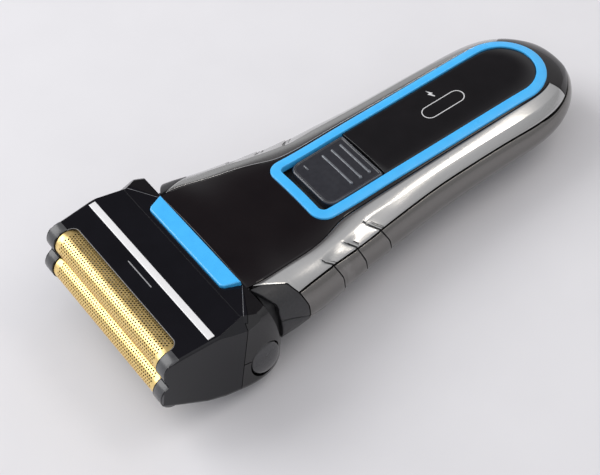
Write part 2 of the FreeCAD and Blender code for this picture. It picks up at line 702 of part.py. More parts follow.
# bridge: plate, fork over the drive pin, two pairs of cutter posts
PLATE_U = -2.6
BRIDGE = in_head(0, PLATE_U, 0)
FRONT_W, REAR_W = 4.2, -4.2
POST_X = 12.0
bridge = body("drive_bridge", BRIDGE)
plate = sketch(bridge, "XZ_Plane")
rectangle(plate, "bridge_width", "bridge_depth")
pad(bridge, plate, "bridge_height").Reversed = True
doc.recompute()
fork = sketch(bridge, "XZ_Plane", -dim("bridge_height") + 0.2)
for x in (-4.7, 4.7):
    rectangle(fork, 1.6, 6.4, x, -1.2)
pad(bridge, fork, 7.4).Reversed = True
doc.recompute()
posts = sketch(bridge, "XZ_Plane", -0.2)
for x in (-POST_X, POST_X):
    for w in (FRONT_W, REAR_W):
        circle(posts, "post_radius", x, w)
pad(bridge, posts, "post_length")

CENTRES = {"front": (-19.4, FRONT_W), "rear": (-19.9, REAR_W)}
BLADES = 38
for name, (u, w) in CENTRES.items():
    sheet_t, tip = dim("blade_sheet"), dim("cutter_radius")
    long = dim("cutter_length")
    pitch = (long - sheet_t) / (BLADES - 1)
    spine = block((-long / 2, long / 2), (1.2, 4.0), (-2.6, 2.6))
    solid = spine
    half_disc = Part.makeCylinder(tip, sheet_t, Vector(0, 0, 0), Vector(1, 0, 0))
    half_disc = half_disc.cut(block((-1, 2), (1.6, 9), (-9, 9)))
    hub = Part.makeCylinder(1.9, sheet_t + 2, Vector(-1, 0, 0), Vector(1, 0, 0))
    half_disc = half_disc.cut(hub)
    blades = []
    for i in range(BLADES):
        blade = half_disc.copy()
        blade.translate(Vector(-long / 2 + i * pitch, 0, 0))
        blades.append(blade)
    solid = solid.multiFuse(blades)
    for x in (-POST_X, POST_X):
        sleeve = Part.makeCylinder(2.4, 5.2, Vector(x, 3.6, 0), Vector(0, 1, 0))
        solid = solid.fuse(sleeve)
    for x in (-POST_X, POST_X):
        bore = Part.makeCylinder(1.18, 7.0, Vector(x, 2.0, 0), Vector(0, 1, 0))
        solid = solid.cut(bore)
    feature("cutter_" + name, solid.removeSplitter().Solids[0], in_head(0, u, w))
    gap = (PLATE_U - 0.25) - (u + 8.8 + 0.25)
    turns = 4
    springs = []
    for x in (-POST_X, POST_X):
        one = coil(1.95, gap - 0.5, turns, dim("spring_wire"))
        one.translate(Vector(x, 0, 0.25))
        springs.append(one)
    rise = Rotation(Vector(1, 0, 0), 90)
    feature("cutter_spring_" + name, Part.Compound(springs), in_head(0, PLATE_U, w, rise))

# ------------------------------------------------------------- neck and base
core = prism([(34.7 - MID, 28.0), (37.2 - MID, 12.0), (36.4 - MID, 0.0), (41.0 - MID, 0.0),
              (41.0 - MID, 28.0)], "x", -30.0, 30.0)
core = core.common(form(-WALL - 0.06))
core = core.cut(Part.makeCylinder(6.0, 20, Vector(0, 25 - MID, MOTOR_Z), Vector(0, 1, 0)))
core = core.cut(block((-BAY_HALF, BAY_HALF), (40.5 - MID, 42 - MID), (0, 9.0)))
feature("neck_core", largest(core))

def head_slice(row, inset):
    """Rounded rectangle across the head at distance a on the tip side of the parting plane."""
    a, half_x, front, rear, front_radius, rear_radius = row
    x, hi, lo = half_x - inset, front - inset, rear + inset
    u = -a
    corners = [(x, hi, front_radius), (x, lo, rear_radius), (-x, lo, rear_radius),
               (-x, hi, front_radius)]
    edges, ends = [], []
    for cx, cz, radius in corners:
        sx = 1 if cx > 0 else -1
        sz = 1 if cz == hi else -1
        r = max(0.4, radius - inset * 0.5)
        k = r * (1 - math.sqrt(0.5))
        first = Vector(cx - sx * r, u, cz)
        second = Vector(cx, u, cz - sz * r)
        if sx * sz < 0:
            first, second = second, first
        middle = Vector(cx - sx * k, u, cz - sz * k)
        edges.append(Part.Arc(first, middle, second).toShape())
        ends.append((first, second))
    for i in range(4):
        edges.append(Part.makeLine(ends[i][1], ends[(i + 1) % 4][0]))
    return Part.Wire(Part.__sortEdges__(edges))


def corner_cut(tip, second, third):
    """Slab whose inner face passes through three points, in right-hand order."""
    a, b, c = Vector(*tip), Vector(*second), Vector(*third)
    normal = (b - a).cross(c - a)
    normal.normalize()
    if normal.z < 0:
        normal = normal * -1
    across = (c - b)
    across.normalize()
    along = normal.cross(across)
    middle = (a + b + c) * (1 / 3)
    ends = [middle + across * i * 30 + along * j * 30
            for i, j in ((-1, -1), (1, -1), (1, 1), (-1, 1))]
    return Part.Face(Part.makePolygon(ends + ends[:1])).extrude(normal * 12)


BASE_SIDE = [(0.2, 13.05), (6.4, 13.75), (9.5, 7.2), (13.1, -1.8), (14.3, -12.9),
             (11.6, -13.75), (0.2, -13.4)]
BASE_SLICES = [(-0.2, 31.5, 13.05, -13.4, 0.9, 2.6), (-4.0, 31.55, 13.5, -13.6, 2.2, 3.0),
               (-8.0, 31.3, 14.1, -13.75, 5.0, 4.0), (-12.0, 30.1, 14.1, -13.7, 7.0, 5.0),
               (-15.0, 27.6, 14.1, -13.3, 8.0, 6.0)]
BEVEL = 3.0
base = Part.makeLoft([head_slice(row, 0.0) for row in BASE_SLICES], True, False)
base = base.common(prism(BASE_SIDE, "x", -40.0, 40.0))
base = base.cut(corner_cut((31.5, 6.4, 13.6), (31.5 - BEVEL, 0.2, 13.05), (31.5, 0.2, 13.05 - BEVEL)))
base = base.cut(corner_cut((-31.5, 6.4, 13.6), (-31.5, 0.2, 13.05 - BEVEL),
                           (-31.5 + BEVEL, 0.2, 13.05)))
for side in (-1, 1):
    x0, x1 = sorted((side * 30.9, side * 33.0))
    base = base.cut(block((x0, x1), (-1.0, 2.4), (-2.65, -2.35)))
base = base.cut(block((-29.4, 29.4), (-5, 4.4), (-11.4, 11.0)))
# the cover's front face runs on in two wings that meet the ends of the neck bar
WING_U, WING_X = 5.9, 19.9


def wings(grow):
    """Wing plate of the cover in the head frame, grown for clearance."""
    low, top = 11.6 - grow, 16.0 if grow else 13.05
    rise = 0.1130
    side = [(-0.6, low), (-0.6, top), (0.0, top), (WING_U + grow, top + rise * WING_U),
            (WING_U + grow, low)]
    plate = prism(side, "x", -31.5 - grow, 31.5 + grow)
    plan = [(-31.5 - grow, -1.0), (-31.5 - grow, 0.0 + grow), (-WING_X, WING_U + grow),
            (WING_X, WING_U + grow), (31.5 + grow, 0.0 + grow), (31.5 + grow, -1.0)]
    return plate.common(prism(plan, "z", -20, 30))


base = base.cut(block((-9.5, 9.5), (-5, 30), (-7.5, 6.5)))
button_at = (7.19, -3.82)


def oval(half_y, half_z, start, length):
    """Oval cylinder along +X, half sizes across."""
    loop = Part.Ellipse(Vector(0, 0, 0), max(half_y, half_z), min(half_y, half_z)).toShape()
    solid = Part.Face(Part.Wire([loop])).extrude(Vector(0, 0, length))
    solid.Placement = Placement(Vector(start, 0, 0), Rotation(Vector(0, 1, 0), 90))
    if half_z < half_y:
        solid.rotate(Vector(0, 0, 0), Vector(1, 0, 0), 90)
    return solid


BUTTON_Y, BUTTON_Z = dim("button_radius"), dim("button_rise")
POCKET_FLOOR = 25.4
for side in (-1, 1):
    hole = oval(BUTTON_Y + 0.3, BUTTON_Z + 0.3, POCKET_FLOOR, 12.0)
    if side < 0:
        hole = hole.mirror(Vector(0, 0, 0), Vector(1, 0, 0))
    hole.translate(Vector(0, button_at[0], button_at[1]))
    base = base.cut(hole)

bar_points = [(-19.6, 33.1), (-17.9, 28.9), (-17.0, 28.15), (17.0, 28.15), (17.9, 28.9),
              (19.6, 33.1)]
neck_bar = prism([(x, y - MID) for x, y in bar_points], "z", 28.2, 30.35)
bar_stand = prism([(x, y - MID) for x, y in bar_points], "z", 20.0, 32.0)
bar_stand.Placement = in_head().inverse()
base = base.cut(wings(0.12).cut(bar_stand))
bar_seat = prism([(x * 1.004, y - MID + (0.03 if y > 31 else -0.03)) for x, y in bar_points],
                 "z", 28.17, 31.5)
head_frame = in_head()
bar_seat.Placement = head_frame.inverse().multiply(bar_seat.Placement)
base = base.cut(bar_seat)
feature("head_base", largest(base), in_head())
top_edges = [e for e in neck_bar.Edges if e.BoundBox.ZLength < 0.01 and e.BoundBox.ZMax > 30.0]
neck_bar = neck_bar.makeFillet(0.45, top_edges)
feature("neck_bar", neck_bar)

for name, side in (("left", -1), ("right", 1)):
    cap = oval(BUTTON_Y, BUTTON_Z, 27.9, dim("button_height"))
    ball = Part.makeSphere(30.0, Vector(2.3, 0, 0))
    dome = oval(BUTTON_Y, BUTTON_Z, 27.9, dim("button_height") + 0.9).common(ball)
    cap = cap.fuse(dome).removeSplitter()
    spring = coil(2.4, 2.0, 2.5, 0.22)
    spring.Placement = Placement(Vector(POCKET_FLOOR + 0.25, 0, 0), Rotation(Vector(0, 1, 0), 90))
    spring = Part.Compound([spring])
    if side < 0:
        cap = cap.mirror(Vector(0, 0, 0), Vector(1, 0, 0))
        spring = spring.mirror(Vector(0, 0, 0), Vector(1, 0, 0))
    feature("release_button_" + name, cap.Solids[0], in_head(0, button_at[0], button_at[1]))
    feature("button_spring_" + name, spring, in_head(0, button_at[0], button_at[1]))

# ------------------------------------------------------------- head cover
COVER = [(0.0, 31.5, 13.05, -13.4, 0.9, 2.6), (4.3, 31.3, 12.2, -13.4, 0.9, 2.4),
         (9.9, 30.9, 11.1, -12.4, 0.8, 2.0), (18.5, 30.2, 8.75, -9.3, 0.7, 1.4),
         (25.0, 29.8, 6.9, -6.9, 0.7, 1.2)]


cover = Part.makeLoft([head_slice(row, 0.0) for row in COVER], True, True)
LOBE = 4.35
lobes = prism([(2, -16), (-19.4, -16), (-19.4, 16), (2, 16)], "x", -40, 40)
lobes = lobes.fuse(block((-40, 40), (-22.2, -19), (-3.4, 3.4)))
for name, (u, w) in CENTRES.items():
    lobes = lobes.fuse(Part.makeCylinder(LOBE, 80, Vector(-40, u, w), Vector(1, 0, 0)))
cover = cover.common(lobes)
cover = cover.cut(corner_cut((30.9, -9.7, 11.1), (31.5 - BEVEL, 0.0, 13.05), (31.5, 0.0, 13.05 - BEVEL)))
cover = cover.cut(corner_cut((-30.9, -9.7, 11.1), (-31.5, 0.0, 13.05 - BEVEL),
                             (-31.5 + BEVEL, 0.0, 13.05)))
cheek = dim("foil_length") / 2 + 0.2
cover = cover.cut(block((-cheek, cheek), (-40, -7.9), (-8.55, 8.55)))
low_rows = [(-1.0, 30.0, 13.05, -13.4, 2.6, 2.6), (4.3, 30.2, 12.2, -13.4, 2.0, 2.4),
            (8.0, 30.6, 11.5, -12.7, 1.2, 2.3)]
cover = cover.cut(Part.makeLoft([head_slice(row, 1.8) for row in low_rows], True, True))
CUT_EDGE = 17.3
window = block((-cheek, cheek), (-40, -CUT_EDGE), (-30, 30))
cut_edges = [e for e in window.Edges
             if e.BoundBox.ZLength > 50 and abs(e.BoundBox.YMax + CUT_EDGE) < 0.01]
cover = cover.cut(window.makeFillet(2.4, cut_edges))
STRIP_A, STRIP_TALL = 8.9, dim("strip_height")


def on_face(a_low, a_high, half_x, depth, proud):
    """Slab lying on the lower front face of the cover."""
    face = [(a, 13.05 - a * (13.05 - 11.1) / 9.9) for a in (a_low, min(a_high, 9.9))]
    if a_high > 9.9:
        face.append((a_high, 11.1 - (a_high - 9.9) * (11.1 - 8.75) / 8.6))
    if a_low > 9.9:
        face = [(a, 11.1 - (a - 9.9) * (11.1 - 8.75) / 8.6) for a in (a_low, a_high)]
    outer = [(-a, w + proud) for a, w in face]
    inner = [(-a, w - depth) for a, w in reversed(face)]
    return prism(outer + inner, "x", -half_x, half_x)


strip = on_face(STRIP_A, STRIP_A + STRIP_TALL, 29.6, 0.5, 0.12)
cover = cover.cut(on_face(STRIP_A - 0.03, STRIP_A + STRIP_TALL + 0.03, 29.63, 0.53, 2.0))
dash = on_face(12.62, 12.96, 5.8, 0.3, 0.04)
cover = cover.cut(on_face(12.59, 12.99, 5.83, 0.33, 2.0))
# room for the neck bar's overhang
bar_room = prism([(x * 1.01, y - MID + (0.2 if y > 31 else -0.2)) for x, y in bar_points],
                 "z", 27.9, 32.5)
bar_room.Placement = head_frame.inverse().multiply(bar_room.Placement)
wing_plate = wings(0.0)
for sx in (1, -1):
    low_corner = Vector(sx * (31.5 - BEVEL), 0.0, 13.05)
    wing_plate = wing_plate.cut(corner_cut((sx * 31.5, 6.4, 13.6), tuple(low_corner),
                                           (sx * 31.5, 0.2, 13.05 - BEVEL)))
under_bar = prism([(x * 1.01, y - MID + (0.2 if y > 31 else -0.2)) for x, y in bar_points],
                  "z", 20.0, 32.5)
under_bar.Placement = head_frame.inverse()
cover = cover.cut(bar_room).fuse(wing_plate.cut(under_bar))
feature("head_cover", largest(cover), in_head())
feature("bright_strip", strip, in_head())
feature("index_mark", dash, in_head())

radius, thick = dim("foil_radius"), dim("foil_sheet")
for name, (u, w) in CENTRES.items():
    foil = body("foil_" + name, in_head(0, u, w))
    profile = sketch(foil, "YZ_Plane")
    flank, inner = dim("foil_flank"), radius - thick
    for r in (radius, inner):
        profile.addGeometry(Part.Arc(Vector(0, -r, 0), Vector(-r, 0, 0), Vector(0, r, 0)), False)
        for s in (-1, 1):
            profile.addGeometry(
                Part.LineSegment(Vector(0, s * r, 0), Vector(flank, s * r, 0)), False
            )
    for s in (-1, 1):
        profile.addGeometry(
            Part.LineSegment(Vector(flank, s * radius, 0), Vector(flank, s * inner, 0)), False
        )
    pad(foil, profile, "foil_length", True)
    long = dim("foil_length") / 2
    ring_u = flank + 0.05
    frame = block((-long, long), (ring_u, ring_u + 1.9), (-4.05, 4.05))
    frame = frame.cut(block((-long + 0.9, long - 0.9), (ring_u - 1, ring_u + 3), (-3.5, 3.5)))
    inner = radius - thick - 0.05
    for side in (-1, 1):
        x0, x1 = sorted((side * (long - 0.7), side * long))
        arch = Part.makeCylinder(inner, 0.7, Vector(x0, 0, 0), Vector(1, 0, 0))
        arch = arch.cut(block((x0 - 1, x1 + 1), (0.001, 9), (-9, 9)))
        plate = arch.fuse(block((x0, x1), (0.0, ring_u + 0.3), (-inner, inner)))
        frame = frame.fuse(plate)
    feature("foil_frame_" + name, frame.removeSplitter().Solids[0], in_head(0, u, w))

# ------------------------------------------------------------- charging inlet
INLET_FAR = 156.1
inlet = body("charging_inlet", at(0, INLET_FAR, SOCKET_Z))
profile = sketch(inlet, "XZ_Plane")
rectangle(profile, 2 * SOCKET_HALF_X - 0.16, 2 * SOCKET_HALF_Z - 0.16)
pad(inlet, profile, 15.0)
profile = sketch(inlet, "XZ_Plane")
rectangle(profile, 7.6, 4.6)
pocket(inlet, profile, 10.0, True)
pins = body("inlet_pins", at(0, INLET_FAR - 10.0, SOCKET_Z))
profile = sketch(pins, "XZ_Plane")
rectangle(profile, 6.2, 2.6)
pad(pins, profile, 0.8).Reversed = True
doc.recompute()
profile = sketch(pins, "XZ_Plane", -0.6)
for x in (-1.9, 1.9):
    circle(profile, 0.6, x, 0.0)
pad(pins, profile, 4.6).Reversed = True
doc.recompute()

# ------------------------------------------------------------- screws
screws = []
for x, y in SCREWS:
    r, h = dim("screwhead_radius"), dim("screwhead_height")
    head = Part.makeCylinder(r, h, Vector(x, y - MID, SCREW_SEAT - h))
    cross = block((x - 1.2, x + 1.2), (y - MID - 0.22, y - MID + 0.22),
                  (SCREW_SEAT - h - 1, SCREW_SEAT - h + 0.8))
    other = block((x - 0.22, x + 0.22), (y - MID - 1.2, y - MID + 1.2),
                  (SCREW_SEAT - h - 1, SCREW_SEAT - h + 0.8))
    shank = Part.makeCylinder(dim("screw_radius"), dim("screw_length"),
                              Vector(x, y - MID, SCREW_SEAT))
    screws.append(head.cut(cross).cut(other).fuse(shank).removeSplitter())
feature("back_screws", Part.Compound(screws))

# ------------------------------------------------------------- trimmer
HINGE_Y, HINGE_Z = 72.2, 3.9
wide = dim("carriage_width") / 2
outer_side = [(42.0, 4.3), (46.0, 3.75), (54.0, 2.85), (62.0, 2.05),
              (72.2, 1.2)]
side = [(y - MID, z) for y, z in outer_side]
side += [(HINGE_Y - MID, 6.4), (42.0 - MID, 6.6)]
carriage = prism(side, "x", -wide, wide)
heel = Part.makeCylinder(2.7, 2 * wide, Vector(-wide, HINGE_Y - MID, HINGE_Z), Vector(1, 0, 0))
carriage = carriage.fuse(heel)
carriage = carriage.cut(block((-11.6, 11.6), (30 - MID, 49.0 - MID), (4.9, 9)))
for i in range(5):
    y = 62.0 - MID + i * 1.8
    carriage = carriage.cut(block((-6, 6), (y, y + 0.7), (-2, 2.15 - 0.08 * i)))
pin_hole = Part.makeCylinder(1.07, 80, Vector(-40, HINGE_Y - MID, HINGE_Z), Vector(1, 0, 0))
carriage = carriage.cut(pin_hole)
feature("trimmer_carriage", largest(carriage))
hinge = Part.makeCylinder(1.0, 2 * BAY_HALF - 0.1, Vector(-BAY_HALF + 0.05, HINGE_Y - MID, HINGE_Z),
                          Vector(1, 0, 0))
feature("trimmer_pin", hinge)

TEETH = 15
comb_half = dim("trimmer_width") / 2
for name, low, thick, reach in (("comb", 4.95, 0.6, 0.0), ("blade", 5.6, 0.5, 0.35)):
    width = comb_half if name == "comb" else comb_half - 1.4
    plate = block((-width, width), (41.6 + 2.2 - MID, 48.6 - MID), (low, low + thick))
    if name == "blade":
        plate = block((-width, width), (43.8 - MID, 47.6 - MID), (low, low + thick))
    pitch = 2 * width / TEETH
    for i in range(TEETH):
        x = -width + (i + 0.5) * pitch
        tooth = block((x - pitch * 0.27, x + pitch * 0.27),
                      (41.6 + reach - MID, 44.2 - MID), (low, low + thick))
        plate = plate.fuse(tooth)
    feature("trimmer_" + name, plate.removeSplitter().Solids[0])

# ------------------------------------------------------------- checks, export
doc.recompute()
os.makedirs("parts", exist_ok=True)
labels = [obj.Label for obj in NODES]
if len(set(labels)) != len(labels):
    raise RuntimeError("a node name repeats")
for obj in doc.Objects:
    if "Invalid" in obj.State or "Error" in obj.State:
        raise RuntimeError("object in error: " + obj.Label)
total = None
for obj in NODES:
    shape = obj.Shape
    if shape.isNull() or not shape.isValid() or shape.Volume <= 0:
        raise RuntimeError("bad shape: " + obj.Label)
    shape.exportStep("parts/%s.step" % obj.Label)
    box = shape.BoundBox
    if total is None:
        total = FreeCAD.BoundBox(box)
    else:
        total.add(box)
    print("%-22s %9.1f mm3  x %6.1f %6.1f  y %6.1f %6.1f  z %6.1f %6.1f" % (
        obj.Label, shape.Volume, box.XMin, box.XMax, box.YMin, box.YMax, box.ZMin, box.ZMax))
print("nodes", len(NODES), total)
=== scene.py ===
import json
import math
import bmesh
import bpy
import numpy as np
from mathutils import Matrix, Vector


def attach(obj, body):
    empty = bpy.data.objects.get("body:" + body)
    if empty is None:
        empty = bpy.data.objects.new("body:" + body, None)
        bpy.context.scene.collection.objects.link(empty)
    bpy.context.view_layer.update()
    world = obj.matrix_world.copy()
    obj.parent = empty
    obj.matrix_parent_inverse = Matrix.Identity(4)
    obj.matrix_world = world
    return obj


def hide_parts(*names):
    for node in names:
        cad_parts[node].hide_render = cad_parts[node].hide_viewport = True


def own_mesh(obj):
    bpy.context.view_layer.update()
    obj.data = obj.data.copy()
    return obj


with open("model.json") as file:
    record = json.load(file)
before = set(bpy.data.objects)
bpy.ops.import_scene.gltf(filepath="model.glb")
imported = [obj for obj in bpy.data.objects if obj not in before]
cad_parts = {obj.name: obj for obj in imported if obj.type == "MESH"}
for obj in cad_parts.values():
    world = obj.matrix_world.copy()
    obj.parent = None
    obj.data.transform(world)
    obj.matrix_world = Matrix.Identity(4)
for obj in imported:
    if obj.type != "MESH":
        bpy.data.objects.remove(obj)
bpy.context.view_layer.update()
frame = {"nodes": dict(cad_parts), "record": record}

# Lengths are millimetres unless a line says metres. A station is a place along the shaver, counted from
# the head's tip, and MID is the station of the frame's origin.
MM = 0.001
MID = 78.37
SHARP = 40          # degrees between faces that stay a crisp edge
MIRROR = np.array([-1, 1, 1])

# station, crown height, panel edge x z, groove x z, widest x z, back seam x z, back height
SECTIONS = np.array([
    (30.0, 30.4, 19.6, 28.6, 27.2, 25.4, 28.9, 17.0, 27.0, 9.5, 5.2),
    (38.0, 29.2, 21.0, 27.8, 27.6, 24.3, 29.2, 16.5, 27.4, 9.6, 4.6),
    (46.0, 27.6, 20.2, 26.2, 27.0, 22.4, 29.1, 15.0, 27.0, 9.6, 3.6),
    (54.0, 26.1, 18.9, 24.8, 25.6, 21.6, 28.1, 14.2, 25.8, 8.9, 2.7),
    (62.0, 25.1, 16.8, 23.8, 24.4, 20.8, 26.7, 13.7, 24.2, 8.4, 1.9),
    (72.0, 24.6, 14.5, 23.2, 22.9, 19.9, 25.0, 13.2, 22.4, 8.1, 1.1),
    (84.0, 24.5, 14.2, 23.1, 21.4, 19.6, 23.2, 12.9, 20.8, 8.3, 0.4),
    (98.0, 24.3, 14.0, 22.95, 20.2, 19.5, 21.9, 12.8, 19.6, 8.7, 0.05),
    (112.0, 24.1, 13.95, 22.75, 19.8, 19.2, 21.4, 12.8, 19.0, 8.8, 0.05),
    (126.0, 23.95, 13.9, 22.6, 19.6, 18.6, 21.3, 12.9, 18.8, 8.7, 0.1),
    (136.0, 23.8, 13.7, 22.35, 19.1, 18.0, 20.9, 13.1, 18.4, 8.8, 0.5),
    (144.0, 23.2, 12.2, 21.7, 17.2, 17.6, 19.0, 13.4, 16.7, 9.3, 1.7),
    (150.0, 21.6, 9.4, 20.4, 14.0, 17.0, 15.6, 13.7, 13.6, 10.2, 3.9),
    (154.0, 19.6, 6.8, 18.7, 10.2, 16.3, 11.6, 14.0, 10.0, 11.2, 6.6),
    (156.5, 17.5, 4.2, 17.0, 6.4, 15.6, 7.3, 14.2, 6.2, 12.4, 9.6),
    (157.3, 15.9, 2.2, 15.7, 3.4, 15.0, 3.9, 14.3, 3.3, 13.4, 11.9),
])
BUTT = SECTIONS[-1, 0]
CORE_Z = 13.0       # height of a line that lies inside every section
CREST_RISE, FACET_RISE = 0.85, 0.12

# half width and station of the front panel's edge, then of the cut across the rails' far ends
PANEL_EDGE = [(20.4, 30.0), (21.1, 38.0), (20.2, 45.0), (19.3, 51.4), (18.3, 57.6),
              (16.9, 62.4), (15.1, 67.4), (14.5, 72.0), (14.3, 84.0), (14.1, 98.0),
              (13.95, 112.0), (13.9, 126.0), (13.85, 134.0), (13.4, 140.0), (12.6, 143.0),
              (11.5, 145.4)]
MITRE = [(11.5, 145.4), (14.9, 148.2), (40.0, 150.7)]
MITRE_START = MITRE[0][1]
# station and height of the groove below the rails and of the seam with the back shell
GROOVE_LINE = [(30.0, 24.2), (44.0, 22.6), (50.0, 22.0), (60.2, 21.0), (70.0, 19.9),
               (78.9, 19.6), (96.6, 19.5), (111.6, 19.2), (126.0, 18.6), (139.8, 17.5),
               (160.0, 16.4)]
BACK_SEAM = [(30.0, 18.9), (38.0, 18.4), (42.0, 16.6), (46.6, 13.4), (54.0, 10.4),
             (63.1, 8.9), (72.4, 8.2), (82.0, 8.3), (93.0, 8.6), (112.0, 8.8),
             (136.0, 8.8), (160.0, 8.8)]
# station and height of the shoulders' far edge
SHOULDER_EDGE = [(32.0, 40.0), (33.0, 31.0), (33.6, 29.2), (37.3, 28.6), (41.2, 27.2),
                 (43.8, 25.3), (45.6, 22.3), (46.7, 18.0), (46.7, 13.0), (44.5, 4.0),
                 (43.0, -4.0)]
# station and height down the three scale-like grip lips on each flank
LIPS = [
    [(56.0, 23.6), (56.5, 22.6), (58.2, 21.4), (59.6, 17.0), (59.6, 13.3), (60.6, 8.8), (61.6, 2.0)],
    [(64.1, 22.7), (66.9, 20.5), (68.1, 16.0), (68.2, 13.0), (69.3, 8.4), (70.4, 1.0)],
    [(72.6, 22.8), (73.3, 21.8), (75.8, 19.9), (77.3, 16.0), (77.6, 13.0), (78.5, 8.2), (79.6, 0.0)],
]
LIP_HOME_Z = 13.3
# distance past a lip and depth below the plain surface
LIP_PROFILE = np.array([
    (-1.5, 0.0), (-0.6, 0.02), (-0.26, 0.06), (-0.18, 0.7), (0.16, 0.7), (0.24, 0.26),
    (0.4, 0.28), (0.9, 0.34), (2.2, 0.3), (5.0, 0.14), (8.4, 0.0)])
# fine second line beside each lip: distance past it, depth, half width
LEDGE, LEDGE_DEPTH, LEDGE_HALF = 1.2, 0.35, 0.14


def smooth(v):
    """Eases from 0 to 1 as v goes from 0 to 1."""
    v = np.clip(v, 0.0, 1.0)
    return v * v * (3.0 - 2.0 * v)


def natural_spline(u, rows, dense):
    """Natural cubic spline through rows at u, read at dense."""
    n, h = len(u), np.diff(u)
    a, b = np.zeros((n, n)), np.zeros_like(rows)
    a[0, 0] = a[-1, -1] = 1.0
    for i in range(1, n - 1):
        a[i, i - 1:i + 2] = h[i - 1], 2 * (h[i - 1] + h[i]), h[i]
        b[i] = 6 * ((rows[i + 1] - rows[i]) / h[i] - (rows[i] - rows[i - 1]) / h[i - 1])
    m = np.linalg.solve(a, b)
    k = np.clip(np.searchsorted(u, dense, side="right") - 1, 0, n - 2)
    t0, t1, hk = (dense - u[k])[:, None], (u[k + 1] - dense)[:, None], h[k][:, None]
    cubic = (m[k] * t1 ** 3 + m[k + 1] * t0 ** 3) / (6 * hk)
    return cubic + (rows[k] / hk - m[k] * hk / 6) * t1 + (rows[k + 1] / hk - m[k + 1] * hk / 6) * t0


def curve_through(points):
    """Smooth function value(station) through (station, value) points."""
    pts = np.array(points, float)
    dense = np.linspace(pts[0, 0], pts[-1, 0], 600)
    values = natural_spline(pts[:, 0], pts[:, 1:], dense)[:, 0]
    return lambda s: np.interp(s, dense, values)


chord = np.concatenate([[0], np.cumsum(np.linalg.norm(np.diff(SECTIONS[:, [0, 1, 4]], axis=0), axis=1))])
PATH = np.linspace(0, chord[-1], 3000)
TABLE = natural_spline(chord, SECTIONS, PATH)
TABLE[:, 0] = np.maximum.accumulate(TABLE[:, 0])
panel_edge = curve_through([(s, x) for x, s in PANEL_EDGE])
groove_z = curve_through(GROOVE_LINE)
back_seam_z = curve_through(BACK_SEAM)


def shoulder_station(z):
    """Station of the shoulders' far edge at height z."""
    edge = np.array(SHOULDER_EDGE)[::-1]
    return np.interp(z, edge[:, 1], edge[:, 0])


def stations(first, last, count):
    """Stations spaced evenly over the surface rather than along the axis."""
    path = np.interp([first, last], TABLE[:, 0], PATH)
    return np.interp(np.linspace(path[0], path[1], count), PATH, TABLE[:, 0])


def at(x, s, z):
    """Point in the common frame from half width, station and height."""
    return np.stack(np.broadcast_arrays(x, s - MID, z), axis=-1)


def section(s):
    """The eleven columns of the section table at station s."""
    return [np.interp(s, TABLE[:, 0], TABLE[:, k]) for k in range(11)]


def skin(s, t):
    """Outer surface: t counts 0 crown, 1 panel edge, 2 crest, 3 groove, 4 back seam, 5 back."""
    s, t = np.broadcast_arrays(np.asarray(s, float), np.asarray(t, float))
    side, t = np.where(t < 0, -1.0, 1.0), np.abs(t)
    _, top, ex, ez, gx, gz, wx, wz, sx, sz, low = section(s)
    # crown
    radius = (ex ** 2 + (top - ez) ** 2) / (2 * (top - ez))
    angle = np.arcsin(np.clip(ex / radius, -1, 1)) * np.clip(t, 0, 1)
    crown = radius * np.sin(angle), top - radius * (1 - np.cos(angle))
    # the two flat strips either side of the crest
    scale = np.minimum(1.0, gx / 20.0)
    length = np.hypot(gx - ex, gz - ez)
    nx, nz = -(gz - ez) / length, (gx - ex) / length
    cx, cz = (ex + gx) / 2 + nx * CREST_RISE * scale, (ez + gz) / 2 + nz * CREST_RISE * scale

    def strip(ax, az, bx, bz, f):
        size = np.hypot(bx - ax, bz - az)
        rise = 4 * FACET_RISE * scale * f * (1 - f)
        return ax + (bx - ax) * f - (bz - az) / size * rise, az + (bz - az) * f + (bx - ax) / size * rise

    inner = strip(ex, ez, cx, cz, np.clip(t - 1, 0, 1))
    outer = strip(cx, cz, gx, gz, np.clip(t - 2, 0, 1))
    # flank arc through groove, widest point and back seam
    d = 2 * (gx * (wz - sz) + wx * (sz - gz) + sx * (gz - wz))
    g2, w2, s2 = gx ** 2 + gz ** 2, wx ** 2 + wz ** 2, sx ** 2 + sz ** 2
    ox = (g2 * (wz - sz) + w2 * (sz - gz) + s2 * (gz - wz)) / d
    oz = (g2 * (sx - wx) + w2 * (gx - sx) + s2 * (wx - gx)) / d
    r = np.hypot(gx - ox, gz - oz)
    a0 = np.arctan2(gz - oz, gx - ox)
    sweep = (a0 - np.arctan2(sz - oz, sx - ox)) % (2 * math.pi)
    a = a0 - sweep * np.clip(t - 3, 0, 1)
    flank = ox + r * np.cos(a), oz + r * np.sin(a)
    # back
    radius = (sx ** 2 + (sz - low) ** 2) / (2 * (sz - low))
    turn = np.arctan2(sx, low + radius - sz) * (1 - np.clip(t - 4, 0, 1))
    back = radius * np.sin(turn), low + radius - radius * np.cos(turn)
    picks = [t <= 1, t <= 2, t <= 3, t <= 4]
    x = np.select(picks, [crown[0], inner[0], outer[0], flank[0]], back[0])
    z = np.select(picks, [crown[1], inner[1], outer[1], flank[1]], back[1])
    return at(side * x, s, z)


def t_where(s, value, axis, low, high):
    """t at which the surface at station s has the given x (axis 0) or height (axis 2)."""
    s, value = np.broadcast_arrays(np.asarray(s, float), np.asarray(value, float))
    lo, hi = np.full(s.shape, float(low)), np.full(s.shape, float(high))
    rising = 1.0 if axis == 0 else -1.0
    for _ in range(26):
        mid = (lo + hi) / 2
        below = rising * (skin(s, mid)[..., axis] - value) < 0
        lo, hi = np.where(below, mid, lo), np.where(below, hi, mid)
    return (lo + hi) / 2


def crown_z(x, s):
    """Height of the crowned front face at plan point x, station s."""
    _, top, ex, ez = section(s)[:4]
    radius = (ex ** 2 + (top - ez) ** 2) / (2 * (top - ez))
    return top - radius + np.sqrt(np.maximum(radius ** 2 - x ** 2, 0.01))


